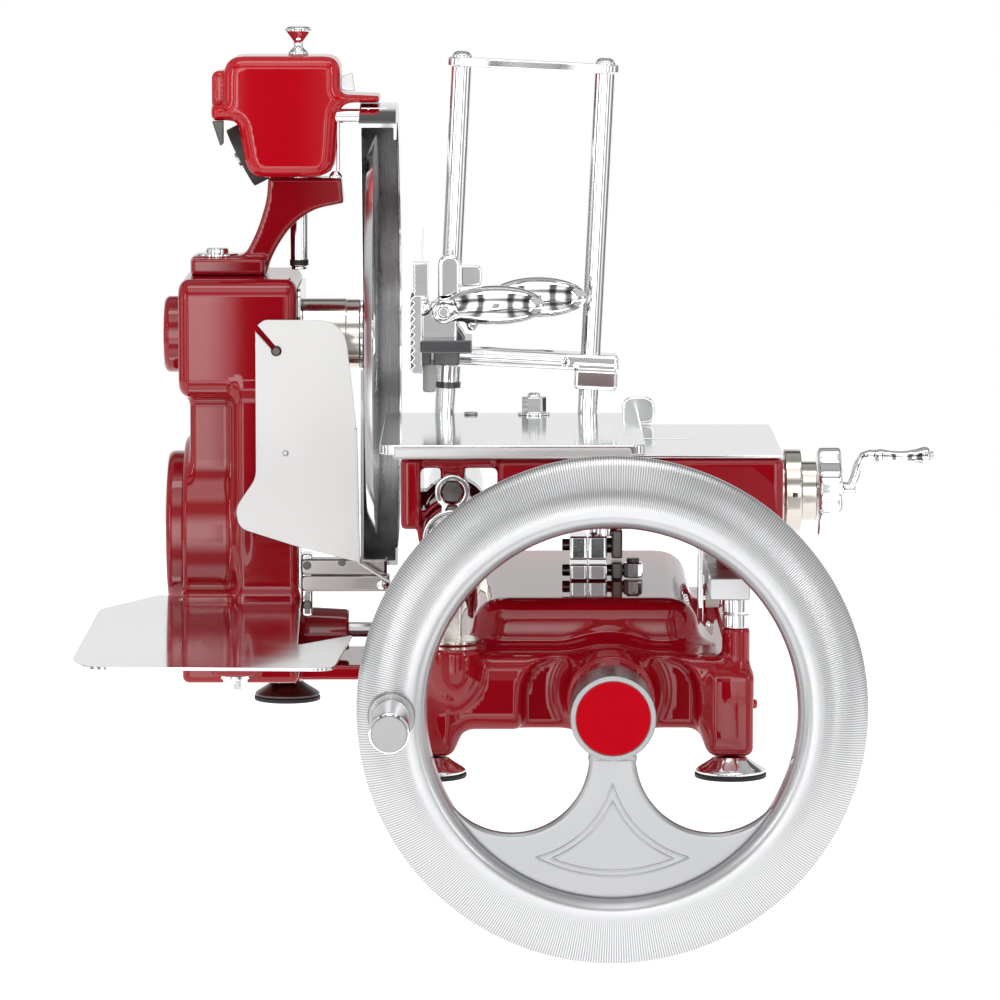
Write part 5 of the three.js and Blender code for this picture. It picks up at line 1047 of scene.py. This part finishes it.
# Table: polished plate with its front lip, the lug that the feed screw drives, and the clamp nut
table = {"plate": (-121, 80, -156.4, 91), "low": 238.3, "top": 246.0, "corner": 10, "lip": (-111, 70, -157, -150.4),
         "lipLow": 235, "neck": (-20, -4, -33, -27), "lug": (-20, -4, -42, -19), "lugZ": (205.5, 227)}
addPiece("tablePlate", [
    slab(rounded(box2(*table["plate"]), table["corner"]), "z", table["low"], table["top"], 1.1),
    slab(box2(*table["neck"]), "z", table["lugZ"][1] - 0.5, table["low"] + 0.5)], "polishedSheet", "table",
    "table_plate")
addPiece("tableLip", slab(rounded(box2(*table["lip"]), [3, 3, 1, 1]), "z", table["lipLow"], table["top"] - 1.2, 2.4),
         "satinSheet", "table")
addPiece("tableLug", slab(box2(*table["lug"]), "z", *table["lugZ"], 0.8), "polishedSheet", "table")
addPiece("tableLugEye", turned(box2(6.4, 11.4, -20, -4), "x", (-30, 197), 0.6, 72, ring=True),
         "polishedSheet", "table")
nut = {"at": (-3, 78), "washer": box2(0, 13, 246.1, 247.8),
       "hex": box2(0, 9.6, 247.6, 260.4),
       "dome": [(0, 260.2), (5.2, 260.2), (5.0, 262.6), (3.4, 263.6), (0, 263.8)]}
addPiece("tableClampNut", [turned(nut["washer"], "z", nut["at"], 0.5, 72), turned(nut["hex"], "z", nut["at"], 1.0, 6),
                           turned(nut["dome"], "z", nut["at"], [0, 0.5, 0.8, 1.0, 0], 48)], "chrome", "table",
         "table_clamp_nut", sharp=25)
addPiece("tableScrew", [turned([(0, 246.1), (5.5, 246.1), (5.5, 247.9), (1.2, 248.1), (0, 248.1)], "z", (-53, 78),
                               [0, 0.8, 0.8, 0.2, 0], 48)], "steel", "table")
addPiece("tableStop", slab(rounded(box2(67, 93, 238.4, 259.4), [2, 8, 9, 9]), "y", 82, 88, 1.2), "polishedSheet",
         "table")
print("table ready")

# Clamp frame: two leaning rods with their bar on top, and the press bar that slides on them
lean = {"x": -17.1, "z": 246.0, "deg": 2.8, "half": 56.63, "y": 85.0, "rod": 8.0, "top": 519.0,
        "drop": 2.77, "sink": 0.4}


# A shell of the upright frame, leaned with it; its normals, where it has any, turn in place
def leanedFrame(shell):
    points = leaned(shell[0] + (lean["x"], 0, 0), lean["x"], lean["z"], lean["deg"])
    return (points, shell[1], *[leaned(normals, 0, 0, lean["deg"]) for normals in shell[2:]])


for side, sign in (("left", -1), ("right", 1)):
    x, low = sign * lean["half"], lean["z"] + sign * lean["drop"] - lean["sink"]
    rod = bar((x, lean["y"], low), (x, lean["y"], lean["top"]), lean["rod"], 0.5, 96)
    addPiece("pressRod_" + side, leanedFrame(rod), "chrome", "table", "press_rod_" + side)
topBar = {"z": (519.3, 526.3), "reach": 11, "nut": [(0, 526), (8, 526), (8, 528.3), (4.8, 531.2), (0, 531.4)]}
stadium = np.concatenate([ringLine(lean["half"], lean["y"], topBar["reach"], 25, -90, 90),
                          ringLine(-lean["half"], lean["y"], topBar["reach"], 25, 90, 270)])
addPiece("rodTopBar", [leanedFrame(slab(stadium, "z", *topBar["z"], 1.2))] + [
    leanedFrame(turned(topBar["nut"], "z", (sign * lean["half"], lean["y"]), [0, 0.5, 1, 2, 0], 48))
    for sign in (-1, 1)], "chrome", "table", "rod_top_bar")
press = {"grid": ((-81, 70, 264), (79, 100, 297), 1.2),
         "bar": (-80.63, 78.63, 70, 100, 284, 297), "end": (44.63, 78.63, 70, 100, 269, 290), "collar": (11, 264, 290),
         "channel": (-58, 38, 60, 72.6, 286.6, 294.4), "pocket": ((-2, 88, 298.5), (33, 11, 5)), "bore": 8.35}


def pressField(x, y, z):
    body = joined(blockField(x, y, z, *press["bar"], 2.5), blockField(x, y, z, *press["end"], 2.5), 2)
    radius, low, high = press["collar"]
    body = joined(body, discField(x + lean["half"], y - lean["y"], z, radius, low, high, 1.2), 2)
    body = carved(body, blockField(x, y, z, *press["channel"], 3.4), 1.2)
    body = carved(body, eggField(x, y, z, *press["pocket"]), 1.5)
    for sign in (-1, 1):
        bore = np.sqrt((x - sign * lean["half"]) ** 2 + (y - lean["y"]) ** 2) - press["bore"] + 0 * z
        body = carved(body, bore, 1.0)
    return body


addPiece("pressBar", leanedFrame(casting(pressField, *press["grid"])), "chrome", "press",
         "press_bar")
underPlates = [slab(rounded(box2(-100.3, -84.5, 50, 69.4), 1.5), "z", 288, 298, 0.8),
               slab(rounded(box2(-82.4, -62, 50, 69.4), 1.5), "z", 288, 298, 0.8)]
addPiece("pressUnderPlates", underPlates, "darkSteel", "press")
addPiece("pressBuffer", turned(box2(0, 5.2, 265.7, 288.2), "z", (-85.7, 60), [0, 3.0, 0.5, 0],
                               48), "nylon", "press")
addPiece("collarBands", [leanedFrame(turned(box2(11.05, 11.5, 264.6, 269.4), "z",
                                            (-lean["half"], lean["y"]), 0.15, 96, ring=True))], "darkSteel", "press")
print("press ready")

# Gripper: toothed plate, bracket and pivot on the press bar, and the two-leaf lever
gripper = {"left": -97, "tooth": 3, "right": -91, "low": 285, "high": 346, "teeth": 10, "front": 8, "back": 69.4,
           "arm": (-93, -52, 301, 311), "pivot": (-74, 333)}
pitch = (gripper["high"] - gripper["low"]) / gripper["teeth"]
toothLine = [(gripper["left"] - gripper["tooth"] * (i % 2), gripper["low"] + i * pitch / 2)
             for i in range(2 * gripper["teeth"])]
toothLine += [(gripper["left"], gripper["high"]), (gripper["right"], gripper["high"]),
              (gripper["right"], gripper["low"])]
bracketLine = rounded([(-96, 299), (-56.7, 299), (-56.7, 312), (-66, 324), (-78, 331), (-96, 331)],
                      [2, 3, 5, 10, 5, 3])
earLine = rounded([(-92, 302), (-64, 302), (-63, 333), (-67, 341), (-80, 342), (-92, 333)], [0, 4, 8, 8, 6, 4])
gripperShells = [
    slab(np.array(toothLine), "y", gripper["front"], gripper["back"], 0.5),
    slab(earLine, "y", 24.4, 45.6, 1.5),
    bar((gripper["pivot"][0], gripper["front"], gripper["pivot"][1]),
        (gripper["pivot"][0], gripper["back"], gripper["pivot"][1]), 4, 0.6, 40)]
addPiece("gripperPlate", gripperShells, "chrome", "press", "gripper_plate")
addPiece("gripperBracket", [slab(rounded(box2(*gripper["arm"]), 1.5), "y", gripper["front"], gripper["back"], 0.8),
                            slab(bracketLine, "y", 29, 69, 1.5)], "darkChrome", "press")
upperTeeth = [(-98.2 + 1.4 * (i % 2), 335 + i * 1.9) for i in range(19)] + [(-86.4, 369.2), (-86.4, 335)]
addPiece("gripperComb", [slab(np.array(upperTeeth), "y", 34, 62, 0.4),
                         bar((-91.6, 40, 366), (-90.4, 40, 396), 0.7, 0.2, 12)], "chrome", "press")
addPiece("gripperLoop", [slab(rounded(box2(-78.6, -60.6, 341, 375.6), [1, 1, 8.8, 8.8], 12), "y", 30, 42, 2.4),
                         slab(rounded(box2(-61, -44.1, 351.3, 367.8), [1, 5, 5, 1]), "y", 31, 40, 1.2)], "chrome",
         "press")
addPiece("gripperBall", [turned([(0, 13), (4.5, 13.4), (7, 17), (7, 23), (4.5, 26.6), (0, 27)], "y", (-90.2, 336),
                                [0, 2, 3, 3, 2, 0], 48)], "chrome", "press")
lever = {"grid": ((-87, -1, 316), (40, 71, 359), 1.1),
         "near": ((-33, 14.5, 338), (38, 14, 15.6)), "far": ((0, 56, 341), (38, 13, 16)), "hub": 9,
         "tie": ((-52, 15, 322), (-52, 58, 325))}


def leverField(x, y, z):
    px, pz = gripper["pivot"]
    near = eggField(x, y, z, *lever["near"])
    near = joined(near, limbField(x, y, z, (px, 15, pz), (-40, 14.5, 337), 7.5, 9), 6)
    near = joined(near, discField(x - px, z - pz, y, lever["hub"], 8.2, 23.6, 2), 5)
    far = eggField(x, y, z, *lever["far"])
    far = joined(far, limbField(x, y, z, (px, 58, pz), (-20, 56, 338), 6.5, 8), 6)
    far = joined(far, discField(x - px, z - pz, y, lever["hub"], 46.4, 69, 2), 5)
    tie = limbField(x, y, z, *lever["tie"], 4, 4)
    body = joined(joined(near, far, 3), tie, 4)
    return carved(body, np.sqrt((x - px) ** 2 + (z - pz) ** 2) - 4.4 + 0 * y, 0.6)


addPiece("gripperLever", casting(leverField, *lever["grid"]), "chrome", "lever", "gripper_lever")
print("gripper ready")

# Feed end: collar, thickness ring, lobed handwheel with its crank and grip
feed = {"at": (-30, 197), "crankZ": 223,
        "collar": [(6.4, 184.3), (25, 184.3), (25, 190), (32.5, 190), (32.5, 203), (6.4, 203)],
        "ring": box2(6.4, 23.2, 203.3, 215),
        "wheel": box2(0, 35.2, 215.8, 234),
        "lobes": {"from": 20, "to": 30, "depth": 4.5, "count": 7},
        "nub": [(0, 233.5), (8.4, 233.5), (7, 236.5), (7, 246), (0, 246)],
        "grip": [(0, 260.3), (6.2, 260.3), (6.9, 265.4), (5.4, 273.2), (5.0, 282), (6.4, 291.4), (8.7, 298.3),
                 (8.1, 302), (6.4, 303.5), (0, 303.6)]}
addPiece("feedCollar", [turned(feed["collar"], "x", feed["at"], [0.3, 0.6, 0.6, 1.4, 1.4, 0.3], 128, ring=True)],
         "nickel", "carriage", "feed_collar")
addPiece("collarMark", bar((195.8, -62.9, 197.5), (198.8, -61.2, 197.5), 1.8, 0.3, 24), "darkSteel", "carriage")
addPiece("thicknessRing", turned(feed["ring"], "x", feed["at"], [0.3, 0.8, 0.8, 0.3], 96, ring=True), "nickel",
         "feed_crank", "thickness_ring")
crankZ = feed["crankZ"]
addPiece("feedHandwheel", [
    turned(feed["wheel"], "x", feed["at"], [0, 3.2, 3.2, 0], 252, lobes=feed["lobes"]),
    turned(feed["nub"], "x", feed["at"], [0, 0.4, 1.6, 1.4, 0], 64),
    tube(np.array([(239, -30, 197), (243.5, -30, 200), (246.5, -30, 208), (249, -30, 217), (252.5, -30, 222.4),
                   (257, -30, 223.2), (260, -30, 223)]), [4.6, 5.2, 5, 5, 5.6, 6.2, 6.0], 40, upright=(0, 1, 0)),
    bar((256, -30, crankZ), (305.6, -30, crankZ), 3, 0.5, 32),
    bar((303.8, -30, crankZ), (306, -30, crankZ), 5, 0.8, 40)], "chrome", "feed_crank", "feed_handwheel")
addPiece("feedGrip", turned(feed["grip"], "x", (-30, crankZ), [0, 1, 2, 5, 6, 6, 3, 2, 1, 0], 72), "chrome",
         "feed_grip", "feed_grip")
print("feed ready")

# Deflector sheet with its keyhole on the column's pin, its folded edge and turned-out lip
deflector = {"y": (69.4, 71.0), "hole": (-207, 297.3, 4.0), "arc": (160.5, 460.5),
             "line": [(-221.85, 317.74), (-216.8, 322), (-153, 322), (-144.2, 239.6), (-141, 128.5), (-193, 142),
                      (-237, 156), (-240.1, 171.8), (-232, 184), (-223.6, 196), (-223.6, 313.6)],
             "radii": [0.8, 4, 22, 0, 1, 2, 12, 12, 8, 8, 0.8],
             "fold": [(-144.9, 236), (-143.3, 236), (-141, 128.5), (-142.6, 128.5)],
             "lip": [(-142.4, 129.8), (-141.6, 127.8), (-117.6, 112.6), (-116.8, 114.0), (-140.6, 129.2)],
             "rivet": [(0, 68.0), (2.0, 68.2), (2.6, 69.6), (2.6, 71.6), (0, 71.6)], "rivetAt": (-200, 216)}
keyhole = ringLine(*deflector["hole"], 40, *deflector["arc"])
sheetLine = rounded(deflector["line"] + keyhole.tolist(), deflector["radii"] + [0] * len(keyhole))
addPiece("deflectorPlate", [
    slab(sheetLine, "y", *deflector["y"], 0.35), slab(np.array(deflector["fold"]), "y", 61.0, 70.7, 0.3),
    slab(np.array(deflector["lip"]), "y", 63.6, 70.8, 0.3)], "satinSheet", "deflector", "deflector_plate")
addPiece("deflectorRivet", turned(deflector["rivet"], "y", deflector["rivetAt"], [0, 0.6, 0.6, 0, 0], 32), "steel",
         "deflector")

# Receiving tray and its stud under the column's ledge
tray = {"line": [(-346, -263.9), (-332.9, -300.1), (-152, -308), (-142, -129.1), (-182, -184), (-188, 72.4),
                 (-285.6, 72.4), (-285.6, 98), (-303, 108), (-345, 21)],
        "radii": [10, 14, 14, 6, 6, 0, 0, 0, 4, 12], "z": (95.6, 98.0), "stud": (-240, 54),
        "rod": box2(0, 4, 38.0, 95.3), "washer": box2(3.9, 12, 38.1, 41.1),
        "nut": box2(0, 9.6, 29.1, 38.3)}
addPiece("receivingTray", slab(rounded(tray["line"], tray["radii"]), "z", *tray["z"], 0.5), "polishedSheet", "tray",
         "receiving_tray")
addPiece("trayStud", [turned(tray["rod"], "z", tray["stud"], 0.4, 40),
                      turned(tray["washer"], "z", tray["stud"], 0.5, 64, ring=True),
                      turned(tray["nut"], "z", tray["stud"], 0.9, 6)], "chrome", "base", "tray_stud", sharp=25)

# Small fittings: the two-step rail on the column's plate with its foot and bolts, the small red knob, and the
# rings of the tray's stud
rail = {"upper": (-188.6, -120, 117.4, 130), "lower": (-188.6, -118, 104, 116.8), "y": (80, 98),
        "foot": (-188.0, -179.4, 84, 134), "hole": (-155.8, 127.4)}
addPiece("columnRail", [slab(rounded(box2(*rail["upper"]), [3, 1, 1, 3]), "y", *rail["y"], 1.6),
                        slab(rounded(box2(*rail["lower"]), [4, 1, 1, 4]), "y", *rail["y"], 1.6)], "railSteel", "base")
addPiece("railFoot", [slab(rounded(box2(*rail["foot"]), [3, 3, 3, 3]), "y", 82, 104, 1.4),
                      turned([(0, 78.2), (3.6, 78.6), (4.4, 80.4), (4.4, 84), (0, 84)], "y", (-124.4, 109.4),
                             [0, 0.8, 0.8, 0, 0], 40)], "chrome", "base")
# A dark disc on the rail's face where its hole is: painted shade standing in for the hole's dark inside
addPiece("railHole", turned(box2(0, 3.0, 79.6, 84), "y", rail["hole"], [0, 0.3, 0, 0], 32),
         "darkSteel", "base")
addPiece("railBolts", [turned([(0, 79.4), (3.4, 79.8), (4.0, 81.2), (4.0, 84), (0, 84)], "y", (-183.6, z),
                              [0, 0.8, 0.8, 0, 0], 32) for z in (93, 125)], "darkSteel", "base")
knob = [(0, 163.4), (3.2, 163.0), (3.8, 160.6), (3.2, 158.6), (3.2, 155), (0, 155)]
addPiece("sideKnob", turned(knob, "x", (-189, 54), [0, 1.0, 1.2, 0.8, 0.3, 0], 48), "brightRedPaint", "base")
trayRings = [turned(box2(4.4, r, z, z + 2.6), "z", tray["stud"], 0.8, 64, ring=True)
             for z, r in ((41.4, 12.5), (45.2, 13.5))]
addPiece("trayRings", trayRings, "rubber", "base")
print("deflector and tray ready")


# What the frame still shows gets its finish, and the sizes are kept
nodeFinish = {"red_paint": "redPaint", "bright_red_paint": "brightRedPaint", "chrome": "chrome",
              "polished_sheet": "polishedSheet", "nickel": "nickel", "steel": "steel",
              "silver_aluminium": "wheelSilver", "blade_steel": "bladeSteel", "nylon": "nylon", "stone": "stone"}
slotOf = {part["node"]: part["material_slot"] for part in frame["record"]["subparts"]}
for node, item in frame["nodes"].items():
    for index in range(max(1, len(item.material_slots))):
        if not item.material_slots:
            item.data.materials.append(None)
        item.material_slots[index].material = finishes[nodeFinish[slotOf[node]]]
print("all pieces ready")
